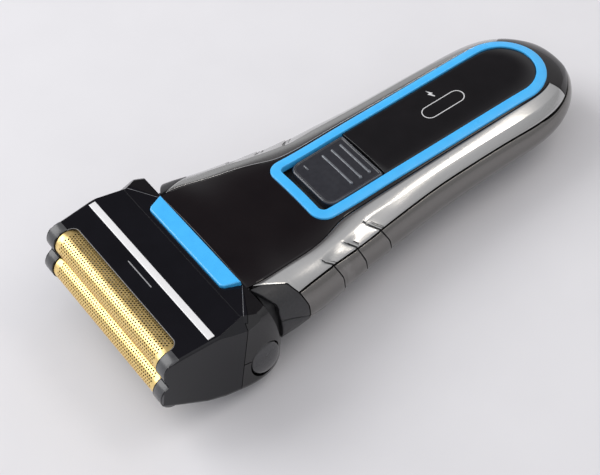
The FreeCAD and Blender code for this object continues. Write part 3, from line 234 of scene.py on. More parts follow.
LIP_CURVES = [np.array(lip)[::-1] for lip in LIPS]


def lip_at(curve, z):
    """Station of a grip lip at height z."""
    return np.interp(z, curve[:, 1], curve[:, 0])


LIP_HOMES = [float(lip_at(curve, LIP_HOME_Z)) for curve in LIP_CURVES]


def lip_offset(s, z, ledge=False):
    """How far the scale-like grips sink below the surface at station s, height z."""
    total = np.zeros(np.shape(s))
    for curve in LIP_CURVES:
        d = s - lip_at(curve, z)
        crest_z = curve[-1, 1]
        fade = smooth((crest_z + 0.1 - z) / 1.3) * smooth((z - 1.2) / 4.0)
        depth = np.interp(d, LIP_PROFILE[:, 0], LIP_PROFILE[:, 1])
        if ledge:
            short = smooth((crest_z - 0.9 - z) / 0.6)
            line = np.clip((LEDGE_HALF - np.abs(d - LEDGE)) / 0.08, 0, 1)
            depth = depth + LEDGE_DEPTH * short * line
        total += depth * fade
    return -total


def notch_painted_shade(s, z):
    """True at the foot of a grip notch and along each ledge line, where the dark inner finish is painted
    shade for the crease.
    """
    for curve in LIP_CURVES:
        crest_z = curve[-1, 1]
        d = s - float(lip_at(curve, z))
        if 2.6 < z < crest_z - 0.35 and -0.23 < d < 0.21:
            return True
        if z < crest_z - 1.3 and z > groove_z(s) and abs(d - LEDGE) < 0.11:
            return True
    return False


def lip_lean(a, z):
    """Shift that makes each row of the grip area follow its nearest lips."""
    stops = [51.0] + LIP_HOMES + [90.0]
    total = np.zeros(np.shape(z))
    for k, curve in enumerate(LIP_CURVES):
        weight = np.interp(a, stops[k:k + 3], [0.0, 1.0, 0.0])
        total = total + weight * (lip_at(curve, z) - LIP_HOMES[k])
    return total


# ---------------- mesh making
def unit(v):
    """Vectors scaled to length one."""
    return v / np.maximum(np.linalg.norm(v, axis=-1, keepdims=True), 1e-9)


def slab(p, thick, r, lift=None):
    """Closed moulded panel under the outer grid p, with rounded edges of radius r."""
    n = unit(np.cross(np.gradient(p, axis=0), np.gradient(p, axis=1)))
    flip = np.sum(n * (p - np.array([0, 0, CORE_Z])) * np.array([1, 0, 1])) < 0
    n = -n if flip else n
    if lift is not None:
        p = p + n * lift[..., None]
    di, dj = unit(np.gradient(p, axis=0)), unit(np.gradient(p, axis=1))
    roll = [(0.0, thick), (0.0, r), (0.1 * r, 0.56 * r), (0.34 * r, 0.22 * r), (r, 0.0)]

    def plan(count):
        rows = [(0, i, d) for i, d in roll] + [(k, 0.0, 0.0) for k in range(1, count - 1)]
        return rows + [(count - 1, -i, d) for i, d in reversed(roll)]

    rows, cols = plan(p.shape[0]), plan(p.shape[1])
    ri, rin, rdep = (np.array(c) for c in zip(*rows))
    ci, cin, cdep = (np.array(c) for c in zip(*cols))
    pick = np.ix_(ri, ci)
    base = p[pick] + di[pick] * rin[:, None, None] + dj[pick] * cin[None, :, None]
    down = n[pick]
    depth = np.maximum(rdep[:, None], cdep[None, :])
    outer = base - down * depth[..., None]
    inner = base - down * thick
    ni, nj = outer.shape[:2]
    top = np.arange(ni * nj).reshape(ni, nj)
    under = top.copy()
    under[1:-1, 1:-1] = ni * nj + np.arange((ni - 2) * (nj - 2)).reshape(ni - 2, nj - 2)
    verts = np.concatenate([outer.reshape(-1, 3), inner[1:-1, 1:-1].reshape(-1, 3)])
    faces = []
    for i in range(ni - 1):
        for j in range(nj - 1):
            q = (top[i, j], top[i + 1, j], top[i + 1, j + 1], top[i, j + 1])
            w = (under[i, j + 1], under[i + 1, j + 1], under[i + 1, j], under[i, j])
            faces.append(q[::-1] if flip else q)
            faces.append(w[::-1] if flip else w)
    return verts, faces


def ring_sweep(grid, closed_path=True):
    """Closed tube from grid[k][m]: k along the path, m round the profile."""
    k_count, m_count = grid.shape[:2]
    ids = np.arange(k_count * m_count).reshape(k_count, m_count)
    faces = []
    for k in range(k_count if closed_path else k_count - 1):
        for m in range(m_count):
            k2, m2 = (k + 1) % k_count, (m + 1) % m_count
            faces.append((ids[k, m], ids[k2, m], ids[k2, m2], ids[k, m2]))
    if not closed_path:
        faces += [tuple(ids[0][::-1]), tuple(ids[-1])]
    return grid.reshape(-1, 3), faces


def merged(parts):
    """One vertex and face list from several."""
    verts, faces, start = [], [], 0
    for v, f in parts:
        verts.append(np.asarray(v))
        faces += [tuple(int(i) + start for i in face) for face in f]
        start += len(v)
    return np.concatenate(verts), faces


def make(name, shape, finish=None, body=None, replaces=(), slot=None, sharp=SHARP, painted_shade=None):
    """Mesh object in metres from a millimetre vertex and face list, with its finish as its material; the slot
    argument is not used.
    """
    verts, faces = shape
    slot = slot or finish
    mesh = bpy.data.meshes.new(name)
    mesh.from_pydata([tuple(v * MM) for v in np.asarray(verts)], [],
                     [tuple(int(i) for i in f) for f in faces])
    bm = bmesh.new()
    bm.from_mesh(mesh)
    bmesh.ops.remove_doubles(bm, verts=bm.verts, dist=1e-7)
    bmesh.ops.recalc_face_normals(bm, faces=bm.faces)
    bm.to_mesh(mesh)
    bm.free()
    mesh.shade_smooth()
    if sharp:
        mesh.set_sharp_from_angle(angle=math.radians(sharp))
    piece = bpy.data.objects.new(name, mesh)
    bpy.context.scene.collection.objects.link(piece)
    if finish:
        mesh.materials.append(MAT[finish])
    # faces picked by the mask take the dark inner_black finish: painted shade in the grip notches
    if painted_shade:
        mesh.materials.append(MAT["inner_black"])
        for face in mesh.polygons:
            _, y, z = face.center / MM
            if painted_shade(y + MID, z):
                face.material_index = 1
    if body:
        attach(piece, body)
    if replaces:
        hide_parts(*replaces)
    return piece


def prism_faces(n):
    """Faces between two loops of n points, and over both ends."""
    faces = [tuple(range(n))[::-1], tuple(range(n, 2 * n))]
    return faces + [(i, (i + 1) % n, n + (i + 1) % n, n + i) for i in range(n)]


def prism_shape(plan, low, high):
    """Closed prism from plan points (x, station), between two heights."""
    verts = [(x, s - MID, z) for z in (low, high) for x, s in plan]
    return np.array(verts, float), prism_faces(len(plan))


def arc(cx, cy, r, start, turn, count):
    """Plan points round a centre, from one angle through a turn, in degrees."""
    turns = [math.radians(start + turn * k / (count - 1)) for k in range(count)]
    return [(cx + r * math.cos(a), cy + r * math.sin(a)) for a in turns]


def socket_shape(flat=3.5, rise=1.9, corner=1.2, centre_z=12.7, inner=149.0, outer=160.0):
    """Rounded charging opening, cut along the handle from the butt."""
    quarter = np.array(arc(flat, rise, corner, 0, 90, 6))
    loop = np.concatenate([quarter, quarter[::-1] * [-1, 1], quarter * [-1, -1], quarter[::-1] * [1, -1]])
    verts = [(x, s - MID, centre_z + z) for s in (inner, outer) for x, z in loop]
    return np.array(verts), prism_faces(len(loop))


def carve(piece, *shapes):
    """Cuts closed shapes out of a piece and keeps the result in its mesh."""
    for shape in shapes:
        tool = make("carving_tool", shape)
        cut = piece.modifiers.new("cut", "BOOLEAN")
        cut.operation, cut.solver, cut.object = "DIFFERENCE", "EXACT", tool
        bpy.context.view_layer.update()
        graph = bpy.context.evaluated_depsgraph_get()
        result = bpy.data.meshes.new_from_object(piece.evaluated_get(graph))
        piece.modifiers.remove(cut)
        old, name = piece.data, piece.data.name
        piece.data = result
        bpy.data.meshes.remove(old)
        result.name = name
        bpy.data.objects.remove(tool)
    piece.data.shade_smooth()
    piece.data.set_sharp_from_angle(angle=math.radians(SHARP))


# ---------------- handle panels
def grip_rows(first, last, tail=14):
    """Row stations: sparse along the handle, crowded at the grip lips."""
    near_lip = [-1.5, -0.9, -0.6, -0.4, -0.26, -0.18, 0.0, 0.16, 0.24, 0.4, 0.7, 0.98, 1.06, 1.12, 1.28,
                1.34, 1.42, 1.7, 2.2]
    rows = [home + step for home in LIP_HOMES for step in near_lip]
    curl = last - 9.0
    for start, end, step in ((first, 56.0, 1.0), (61.8, 66.4, 1.0), (70.4, 75.8, 1.0), (80.0, curl, 1.5)):
        rows += list(np.linspace(start, end, int((end - start) / step) + 1))
    return np.array(sorted(rows) + list(stations(curl, last, tail)[1:]))


def leaning(rows, s_lo, s_hi, lean):
    """Grid of stations: straight rows bent to the two end curves and to the lips."""
    a = rows[:, None]
    near = 1 - smooth((a - rows[0]) / 9.0)
    far = smooth((a - rows[-1] + 12.0) / 12.0)
    return a + near * (s_lo - rows[0])[None, :] + far * (s_hi - rows[-1])[None, :] + lean


def settle(count, first, station_of):
    """Solves s = station_of(s) along an edge by repeated substitution."""
    s = np.full(count, float(first))
    for _ in range(12):
        s = 0.5 * s + 0.5 * station_of(s)
    return s


def mitre_station(x):
    """Station of the cut across the rails' ends, at half width x."""
    return np.interp(x, [m[0] for m in MITRE], [m[1] for m in MITRE])


def front_half_x(s):
    """Half width of the front panel in plan."""
    past = np.interp(s, [m[1] for m in MITRE], [m[0] for m in MITRE])
    return np.where(s <= MITRE_START, panel_edge(np.minimum(s, MITRE_START)), past)


# half a seam's width, half the groove's width, thickness of the panels
SEAM, GROOVE, PANEL = 0.12, 0.22, 1.7


def split_station(s, t):
    """Station where rail and shoulder meet: on the inner strip the rail runs on to the neck bar."""
    inner = 33.9 + 9.1 * np.clip(t - 1.0, 0, 1) ** 0.85
    return np.where(t < 2.0, inner, shoulder_station(skin(s, t)[..., 2]))


def rail_shape():
    """Upper rail of the right flank; b runs across it, and 0.5 is the crest."""
    b = np.array([0, 0.1, 0.2, 0.3, 0.4, 0.45, 0.475, 0.49, 0.5, 0.51, 0.525, 0.55, 0.6, 0.68, 0.76,
                  0.84, 0.92, 1.0])

    def t_of(s, b):
        lo = t_where(s, panel_edge(np.minimum(s, MITRE_START)) + SEAM, 0, 0.6, 1.9)
        hi = t_where(s, groove_z(s) + GROOVE, 2, 2.1, 3.9)
        return np.where(b < 0.5, lo + (2.0 - lo) * b * 2, 2.0 + (hi - 2.0) * (b - 0.5) * 2)

    near = settle(len(b), 45, lambda s: split_station(s, t_of(s, b)) + SEAM)
    far = settle(len(b), 146, lambda s: mitre_station(skin(s, t_of(s, b))[..., 0]) - SEAM)
    rows = grip_rows(46.0, 147.5)
    bb = np.broadcast_to(b[None, :], (len(rows), len(b)))
    s = leaning(rows, near, far, 0.0)
    for _ in range(3):
        z = skin(s, t_of(s, bb))[..., 2]
        s = leaning(rows, near, far, lip_lean(rows[:, None], z) * smooth((bb - 0.3) / 0.2))
    p = skin(s, t_of(s, bb))
    lift = lip_offset(s, p[..., 2], ledge=True) * smooth((bb - 0.42) / 0.1)
    return slab(p, PANEL, 0.14, lift)


def side_x(s, z):
    """Half width of the handle at station s and height z."""
    return skin(s, t_where(s, z, 2, 0.0, 5.0))[..., 0]


def band_point(turn, z, pivot=135.0):
    """Surface point at height z along a ray in plan from the pivot station, turn in radians from +Y."""
    turn, z = np.broadcast_arrays(turn, z)
    lo, hi = np.zeros(turn.shape), np.full(turn.shape, 40.0)
    for _ in range(24):
        r = (lo + hi) / 2
        s = pivot + r * np.cos(turn)
        width = np.where(s > BUTT, -1.0, side_x(np.minimum(s, BUTT), z) - 1e-3)
        inside = r * np.abs(np.sin(turn)) < width
        lo, hi = np.where(inside, r, lo), np.where(inside, hi, r)
    return at(lo * np.sin(turn), pivot + lo * np.cos(turn), z)


def belt_shape(wrap=math.radians(88.5)):
    """Side band: along the right flank, round the butt through twice the wrap angle, and back on the left."""
    b = np.linspace(0, 1, 13)

    def height(s):
        low = back_seam_z(s) + SEAM
        return low + (groove_z(s) - GROOVE - low) * b

    rows = grip_rows(46.8, 134.4, 7)
    near = settle(len(b), 46.7, lambda s: shoulder_station(height(s)) + SEAM)
    far = np.full(len(b), rows[-1])
    s = leaning(rows, near, far, lip_lean(rows[:, None], height(leaning(rows, near, far, 0.0))))
    z = height(s)
    right = at(side_x(s, z), s, z)
    lift = lip_offset(s, z)
    turns = np.linspace(wrap, -wrap, 61)
    join = np.clip(np.abs(turns) / wrap, 0, 1)[:, None] ** 6
    butt = band_point(turns[:, None], height(148.0)[None, :] * (1 - join) + z[-1][None, :] * join)
    p = np.concatenate([right, butt, right[::-1] * MIRROR])
    return slab(p, PANEL, 0.14, np.concatenate([lift, np.zeros(butt.shape[:2]), lift[::-1]]))


def back_grid(s, cols):
    """Back surface at stations s; cols run from -1 at the left seam to 1 at the right."""
    half = t_where(s, back_seam_z(s) - SEAM, 2, 3.0, 5.0)
    t = 5.0 - (5.0 - half) * np.abs(cols)[None, :]
    return skin(s, np.where(cols[None, :] < 0, -t, t))


def back_near(cols, gap):
    """Stations of the shoulder edge across the back, moved by a gap."""
    return settle(len(cols), 44, lambda s: shoulder_station(back_grid(s[None, :], cols)[0, :, 2]) + gap)


def back_shell_shape():
    """Back shell behind the shoulder collar."""
    cols = np.sin(np.linspace(-1, 1, 41) * math.pi / 2) * 0.35 + np.linspace(-1, 1, 41) * 0.65
    rows = grip_rows(46.0, 155.3, 16)
    near, far = back_near(cols, SEAM), np.full(len(cols), rows[-1])
    s = leaning(rows, near, far, 0.0)
    for _ in range(3):
        s = leaning(rows, near, far, lip_lean(rows[:, None], back_grid(s, cols)[..., 2]))
    p = back_grid(s, cols)
    return slab(p, PANEL, 0.16, lip_offset(s, p[..., 2]))


def shoulder_shape():
    """Matt shoulder of the right flank, between the neck and the rail and band."""
    b = np.concatenate([np.linspace(0, 0.3, 9), np.linspace(0.3, 1, 16)[1:]])

    def t_of(s, b):
        hi = t_where(s, back_seam_z(s) + SEAM, 2, 2.5, 4.9)
        return 1.32 + (hi - 1.32) * b

    def rim(s):
        p = skin(s, t_of(s, b))
        x, z = p[..., 0], p[..., 2]
        low = np.interp(z, [23.5, 29.0], [37.7, 33.4])
        high = np.interp(x, [20.2, 23.0, 26.0, 28.2, 31.0], [33.4, 34.7, 36.5, 38.4, 42.0])
        return np.maximum(low, 33.4 + (high - 33.4) * smooth((z - 16.0) / 8.0))

    near = settle(len(b), 36, rim)
    far = settle(len(b), 45, lambda s: split_station(s, t_of(s, b)) - SEAM)
    a = np.linspace(0, 1, 16)[:, None]
    s = near[None, :] + (np.maximum(far, near + 0.8) - near)[None, :] * a
    return slab(skin(s, t_of(s, np.broadcast_to(b[None, :], s.shape))), PANEL, 0.3)


def shoulder_back_shape(near=37.7):
    """Collar that joins the shoulders across the back."""
    cols = np.linspace(-1, 1, 33)
    s = near + (back_near(cols, -SEAM) - near)[None, :] * np.linspace(0, 1, 10)[:, None]
    return slab(back_grid(s, cols), PANEL, 0.3)


RING = {"half": 13.2, "near": 62.5, "far": 150.2, "corner": 4.5}
RING_INNER = {"half": 10.2, "near": 65.5, "far": 147.2, "corner": 1.8}


def outline(shape, grow=0.0):
    """Plan outline (x, station) of the ring, matched point for point at any size."""
    half, near, far = shape["half"] + grow, shape["near"] - grow, shape["far"] + grow
    c = shape["corner"] + grow

    def run(start, end, count):
        return [tuple(np.add(start, np.subtract(end, start) * k / count)) for k in range(1, count)]

    return np.array(
        arc(half - c, near + c, c, -90, 90, 10) + run((half, near + c), (half, far - half), 50)
        + arc(0, far - half, half, 0, 180, 49) + run((-half, far - half), (-half, near + c), 50)
        + arc(c - half, near + c, c, 180, 90, 10) + run((c - half, near), (half - c, near), 16))


def band_on_panel(outer, inner, low, high, r):
    """Ring of rectangular section between two matched outlines, lying on the crowned panel."""
    width = np.linalg.norm(outer - inner, axis=1)[:, None]
    prof = [(0.0, low), (0.0, high - r), (0.08 * r, high - 0.62 * r), (0.3 * r, high - 0.3 * r),
            (0.62 * r, high - 0.08 * r), (r, high)]
    inset = [p[0] for p in prof] + [-p[0] for p in reversed(prof)]
    rise = [p[1] for p in prof] + [p[1] for p in reversed(prof)]
    cells = []
    for m, h in enumerate(rise):
        f = inset[m] / width if m < len(prof) else 1 + inset[m] / width
        plan = outer + (inner - outer) * f
        z = crown_z(plan[:, 0], plan[:, 1]) + h
        cells.append(at(plan[:, 0], plan[:, 1], z))
    return ring_sweep(np.stack(cells, axis=1))


def front_panel_shape():
    """Gloss front panel, which also forms the upper butt end."""
    rows = np.concatenate([
        np.arange(33.45, 62.0, 0.9), np.arange(62.0, 140.0, 1.6), np.arange(140.0, 145.2, 0.5),
        [145.28, 145.52, 146.0, 146.6, 147.2, 147.8, 148.12, 148.3, 148.5, 149.0],
        stations(149.6, 156.55, 18)])
    cols = np.concatenate([[-1], np.linspace(-0.97, 0.97, 45), [1]])
    edge = t_where(rows, front_half_x(rows) - SEAM, 0, 0.02, 3.6)
    low = t_where(rows, groove_z(rows) + SEAM, 2, 0.02, 3.9)
    half = np.minimum(edge, np.where(rows > 146, low, 9))
    t = cols[None, :] * half[:, None]
    return slab(skin(rows[:, None], t), PANEL, 0.28)


def lens_shape(near=87.35, play=0.06):
    """Glossy window inside the ring, past the slide switch."""
    half, far = RING_INNER["half"] - play, RING_INNER["far"] - play
    middle = far - half
    curve = np.sin(np.linspace(0, math.pi / 2, 16)[1:])
    s = np.concatenate([np.linspace(near, middle, 26), middle + (half - 2 * play) * curve])
    width = np.where(s < middle, half, np.sqrt(np.maximum(half ** 2 - (s - middle) ** 2, 0.01)))
    cols = np.linspace(-1, 1, 21)
    x = width[:, None] * cols[None, :]
    return slab(at(x, s[:, None], crown_z(x, s[:, None]) + 0.02), 1.0, 0.12)


# ---------------- materials
def new_node(tree, kind, **sockets):
    """Shader node with the given values on its sockets."""
    node = tree.nodes.new("ShaderNode" + kind)
    for socket, value in sockets.items():
        node.inputs[socket.replace("_", " ")].default_value = value
    return node


def ramp(tree, source, start, end, low, high):
    """Blend of two colours, led by a socket's value between start and end."""
    node = new_node(tree, "ValToRGB")
    first, last = node.color_ramp.elements
    first.position, last.position = start, end
    first.color, last.color = (*low, 1.0), (*high, 1.0)
    tree.links.new(source, node.inputs["Fac"])
    return node


def material(name, low, high, grain, rough, bump, bump_grain, stretch=(1, 1, 1), wear=0.0, coat=None,
             **shader):
    """Plastic, lacquer or metal whose colour, gloss and relief vary over the surface."""
    m = bpy.data.materials.new(name)
    m.use_nodes = True
    tree = m.node_tree
    link = tree.links.new
    bsdf = tree.nodes["Principled BSDF"]
    if coat:
        shader.update(Coat_Weight=coat[0], Coat_Roughness=coat[1])
    for socket, value in shader.items():
        bsdf.inputs[socket.replace("_", " ")].default_value = value
    scale = new_node(tree, "Mapping", Scale=stretch)
    link(new_node(tree, "TexCoord").outputs["Object"], scale.inputs["Vector"])

    def texture(size, detail):
        node = new_node(tree, "TexNoise", Scale=size, Detail=detail)
        link(scale.outputs["Vector"], node.inputs["Vector"])
        return node.outputs["Fac"]

    tone = ramp(tree, texture(grain, 3.0), 0.3, 0.7, low, high)
    # convex edges lightened by pointiness: partly rubbed wear, partly a painted highlight along the edges
    if wear:
        edge = new_node(tree, "NewGeometry").outputs["Pointiness"]
        rubbed_or_lit_edge = ramp(tree, edge, 0.515, 0.56, (0, 0, 0), (1, 1, 1))
        mix = new_node(tree, "MixRGB", Color2=(wear, wear, wear, 1.0))
        mix.blend_type = "ADD"
        link(rubbed_or_lit_edge.outputs["Color"], mix.inputs["Fac"])
        link(tone.outputs["Color"], mix.inputs["Color1"])
        tone = mix
    link(tone.outputs["Color"], bsdf.inputs["Base Color"])
    spread = new_node(tree, "MapRange", From_Min=0.3, From_Max=0.7, To_Min=rough[0], To_Max=rough[1])
    link(texture(grain * 0.23, 4.0), spread.inputs["Value"])
    link(spread.outputs["Result"], bsdf.inputs["Roughness"])
    relief = new_node(tree, "Bump", Strength=bump, Distance=0.0002)
    link(texture(bump_grain, 2.0), relief.inputs["Height"])
    link(relief.outputs["Normal"], bsdf.inputs["Normal"])
    return m


def finish(*look, **shader):
    """One row of the table of finishes."""
    return look, shader


# darker and lighter colour, scale of the mottling, roughness range, strength and scale of the fine relief
FINISHES = {
    "black_gloss": finish((0.006, 0.0042, 0.0052), (0.008, 0.0058, 0.0068), 120, (0.08, 0.12), 0.006, 900,
        Specular_IOR_Level=0.36, coat=(0.12, 0.04)),
    "cover_black": finish((0.004, 0.004, 0.006), (0.0056, 0.0056, 0.0082), 120, (0.09, 0.13), 0.006, 900,
        Specular_IOR_Level=0.36, coat=(0.12, 0.04)),
    "lens_black": finish((0.0075, 0.007, 0.008), (0.01, 0.0092, 0.0105), 160, (0.05, 0.08), 0.004, 700,
        Specular_IOR_Level=0.4, coat=(0.15, 0.03)),
    "dark_matt": finish((0.022, 0.022, 0.025), (0.036, 0.036, 0.04), 2200, (0.42, 0.6), 0.35, 5200),
    "shoulder_grey": finish((0.02, 0.02, 0.022), (0.03, 0.03, 0.033), 1800, (0.36, 0.48), 0.22, 5200),
    "gunmetal": finish((0.46, 0.46, 0.455), (0.53, 0.53, 0.525), 6500, (0.18, 0.21), 0.004, 5200, wear=0.04,
        Metallic=0.95, coat=(0.4, 0.06)),
    "gunmetal_low": finish((0.16, 0.153, 0.147), (0.2, 0.192, 0.184), 6500, (0.22, 0.26), 0.004, 5200,
        wear=0.03, Metallic=0.92, coat=(0.4, 0.08)),
    "blue": finish((0.055, 0.47, 0.97), (0.065, 0.51, 1.0), 300, (0.26, 0.32), 0.006, 3000, coat=(0.2, 0.12)),
    "print_white": finish((0.62, 0.62, 0.63), (0.72, 0.72, 0.73), 3500, (0.4, 0.55), 0.1, 7000),
    "inner_black": finish((0.01, 0.01, 0.011), (0.018, 0.018, 0.02), 1500, (0.45, 0.65), 0.2, 4500),
    "slider_grey": finish((0.024, 0.025, 0.031), (0.03, 0.031, 0.038), 700, (0.2, 0.26), 0.012, 3200,
        coat=(0.4, 0.06)),
    "board_green": finish((0.012, 0.1, 0.035), (0.02, 0.16, 0.06), 1300, (0.3, 0.45), 0.2, 2600),
    "lamp_clear": finish((0.72, 0.78, 0.84), (0.8, 0.86, 0.92), 500, (0.06, 0.14), 0.02, 1500,
        Transmission_Weight=0.7, IOR=1.49),
    "cell_wrap": finish((0.03, 0.15, 0.08), (0.05, 0.2, 0.11), 350, (0.25, 0.4), 0.08, 1600),
    "nickel": finish((0.5, 0.48, 0.44), (0.62, 0.6, 0.55), 900, (0.25, 0.38), 0.12, 3000, stretch=(1, 1, 9),
        Metallic=1.0),
    "motor_steel": finish((0.42, 0.42, 0.42), (0.54, 0.54, 0.54), 700, (0.28, 0.42), 0.12, 2600,
        stretch=(1, 8, 1), Metallic=1.0),
    "shaft_steel": finish((0.52, 0.52, 0.52), (0.64, 0.64, 0.64), 900, (0.16, 0.26), 0.1, 3500,
        stretch=(8, 1, 1), Metallic=1.0),
    "acetal_white": finish((0.7, 0.7, 0.67), (0.78, 0.78, 0.76), 800, (0.4, 0.55), 0.12, 3200),
    "cutter_steel": finish((0.42, 0.42, 0.43), (0.56, 0.56, 0.57), 1800, (0.2, 0.34), 0.18, 4200,
        stretch=(6, 1, 1), Metallic=1.0),
    "spring_steel": finish((0.42, 0.42, 0.42), (0.55, 0.55, 0.55), 1500, (0.25, 0.35), 0.1, 3500,
        Metallic=1.0),
    "dark_gloss": finish((0.0045, 0.004, 0.0048), (0.0065, 0.006, 0.007), 400, (0.14, 0.2), 0.01, 2600,
        Specular_IOR_Level=0.5, coat=(0.15, 0.1)),
    # lighter grey of the switch ribs, the cap's edge line and the small mark: painted highlight
    "rib_highlight_grey": finish((0.14, 0.15, 0.17), (0.2, 0.21, 0.23), 900, (0.2, 0.28), 0.03, 3200, Metallic=0.3,
        coat=(0.4, 0.08)),
    "button_grey": finish((0.03, 0.03, 0.033), (0.04, 0.04, 0.044), 1600, (0.2, 0.28), 0.03, 4200,
        coat=(0.5, 0.12)),
    "strip_silver": finish((0.86, 0.86, 0.87), (0.93, 0.93, 0.94), 1500, (0.28, 0.36), 0.02, 3500,
        stretch=(1, 9, 9), Metallic=0.15),
    "foil_gold": finish((0.92, 0.66, 0.24), (1.0, 0.76, 0.34), 1500, (0.32, 0.4), 0.05, 4200, Metallic=0.9),
    "lobe_grey": finish((0.055, 0.056, 0.06), (0.075, 0.076, 0.08), 1200, (0.3, 0.38), 0.03, 4200,
        coat=(0.3, 0.2)),
    # light grey of the cover's edge beads: a painted highlight
    "painted_highlight_grey": finish((0.12, 0.12, 0.13), (0.16, 0.16, 0.17), 1500, (0.2, 0.28), 0.02, 4200,
        coat=(0.4, 0.1)),
    "print_dim": finish((0.26, 0.26, 0.27), (0.32, 0.32, 0.33), 3500, (0.4, 0.55), 0.05, 7000),
    "pin_brass": finish((0.66, 0.5, 0.22), (0.78, 0.62, 0.3), 1500, (0.2, 0.32), 0.1, 3500, Metallic=1.0),
    "screw_steel": finish((0.16, 0.16, 0.17), (0.26, 0.26, 0.27), 2200, (0.3, 0.42), 0.15, 4200,
        Metallic=1.0),
}
MAT = {name: material(name, *look, **shader) for name, (look, shader) in FINISHES.items()}


def dress(node, look, bevel=0.15):
    """Gives a CAD node its finish and rounds its hard edges with modifiers."""
    piece = frame["nodes"][node]
    piece.data.materials.clear()
    piece.data.materials.append(MAT[look])
    if not bevel:
        return
    weld = piece.modifiers.new("weld", "WELD")
    weld.merge_threshold = 2e-6
    flat = piece.modifiers.new("flat", "DECIMATE")
    flat.decimate_type, flat.angle_limit = "DISSOLVE", math.radians(0.6)
    soft = piece.modifiers.new("soft", "BEVEL")
    soft.width, soft.segments, soft.limit_method = bevel * MM, 3, "ANGLE"
    soft.angle_limit, soft.harden_normals = math.radians(32), False
    soft.use_clamp_overlap = True
    even = piece.modifiers.new("even", "WEIGHTED_NORMAL")
    even.keep_sharp = False


# ---------------- head
TILT = math.radians(14.5)
HEAD_Y, HEAD_Z = 24.0 - MID, 17.0
CA, SA = math.cos(TILT), math.sin(TILT)


def head(x, u, w):
    """Head frame (x, u toward the handle, w toward the front) to the common frame."""
    x, u, w = np.broadcast_arrays(x, u, w)
    return np.stack([x, HEAD_Y + CA * u + SA * w, HEAD_Z - SA * u + CA * w], axis=-1)


FOIL_R, FOIL_LONG, FOIL_FLANK, FOIL_SHEET = 4.0, 51.4, 6.9, 0.16
FOILS = {"front": (-19.4, 4.2), "rear": (-19.9, -4.2)}     # u and w of each arch's axis
BUTTON_AT = (7.19, -3.82)                                  # u and w of the release buttons
SIDES = (("left", -1), ("right", 1))


def foil_point(x, along, depth, centre):
    """Point on a foil: along runs over the arch, zero at its top, in millimetres of sheet."""
    quarter = FOIL_R * math.pi / 2
    r = FOIL_R - depth
    a = np.clip(along, -quarter, quarter) / FOIL_R
    rest = np.abs(along) - quarter
    u = -r * np.cos(a) + np.maximum(rest, 0)
    w = r * np.sin(a)
    return head(x, centre[0] + u, centre[1] + w)


def foil_shape(centre, pitch=0.92, hole=0.30):
    """Sheet folded over an arch, pierced by staggered six-sided holes."""
    cols = 2 * int((FOIL_LONG - 3.4) / pitch / 2)
    step = pitch * 0.866
    quarter = FOIL_R * math.pi / 2
    rows = int((2 * quarter + 6.0) / step)
    x0, a0 = -cols * pitch / 2, -rows * step / 2
    points, index, faces = [], {}, []

    def vert(x, a, layer):
        key = (round(x, 4), round(a, 4), layer)
        if key not in index:
            index[key] = len(points)
            points.append((x, a, layer * FOIL_SHEET))
        return index[key]

    def quad(a, b, c, d):
        for layer in (0, 1):
            ids = [vert(*p, layer) for p in (a, b, c, d)]
            faces.append(ids if layer == 0 else ids[::-1])

    for j in range(rows):
        shift = pitch / 2 if j % 2 else 0.0
        low, high = a0 + j * step, a0 + (j + 1) * step
        for i in range(cols):
            x = x0 + i * pitch + shift
            cx, cy = x + pitch / 2, (low + high) / 2
            outer = [(x, low), (cx, low), (x + pitch, low), (x + pitch, high), (cx, high), (x, high)]
            inner = [(cx + hole * math.cos(math.radians(t)), cy + hole * math.sin(math.radians(t)))
                     for t in (210, 270, 330, 30, 90, 150)]
            for k in range(6):
                n = (k + 1) % 6
                quad(outer[k], outer[n], inner[n], inner[k])
                wall = ((k, 0), (n, 0), (n, 1), (k, 1))
                faces.append([vert(*inner[m], layer) for m, layer in wall])
        for x_edge, x_out in ((x0 + shift, -FOIL_LONG / 2), (x0 + cols * pitch + shift, FOIL_LONG / 2)):
            quad((x_out, low), (x_edge, low), (x_edge, high), (x_out, high))
    # plain margins along the flanks
    end = quarter + FOIL_FLANK
    inside = [x0 + k * pitch / 2 for k in range(2 * cols + 2)]
    stops = [-FOIL_LONG / 2] + inside + [FOIL_LONG / 2]
    for near, far in ((a0 + rows * step, end), (a0, -end)):
        for k in range(len(stops) - 1):
            quad((stops[k], near), (stops[k + 1], near), (stops[k + 1], far), (stops[k], far))
    pts = np.array(points)
    return foil_point(pts[:, 0], pts[:, 1], pts[:, 2], centre), faces


# ---------------- slide switch
def rounded_rect(hx, hy, r_far, r_near):
    """Centred rectangle of half sizes hx, hy, with its own corner radius at each end."""
    pts = []
    for sx, sy, start in ((1, 1, 0), (-1, 1, 90), (-1, -1, 180), (1, -1, 270)):
        r = r_far if sy > 0 else r_near
        pts += arc(sx * (hx - r), sy * (hy - r), r, start, 90, 9)
    return np.array(pts)


def loops_shape(loops):
    """Stack of matched loops joined by quads, with both ends closed by a fan of triangles."""
    count, rings = len(loops[0]), len(loops)
    faces = []
    for k in range(rings - 1):
        for i in range(count):
            j = (i + 1) % count
            faces.append((k * count + i, k * count + j, (k + 1) * count + j, (k + 1) * count + i))
    base, tip = (rings - 1) * count, rings * count
    faces += [(base + i, base + (i + 1) % count, tip) for i in range(count)]
    faces += [((i + 1) % count, i, tip + 1) for i in range(count)]
    return np.concatenate([*loops, [loops[-1].mean(axis=0), loops[0].mean(axis=0)]]), faces


SLIDER = {"x": 9.7, "near": 68.0, "far": 87.0, "base": 21.5, "top": 24.5, "fall": 0.62}
SLIDER_Y, SLIDER_MIDDLE = (SLIDER["far"] - SLIDER["near"]) / 2, (SLIDER["far"] + SLIDER["near"]) / 2
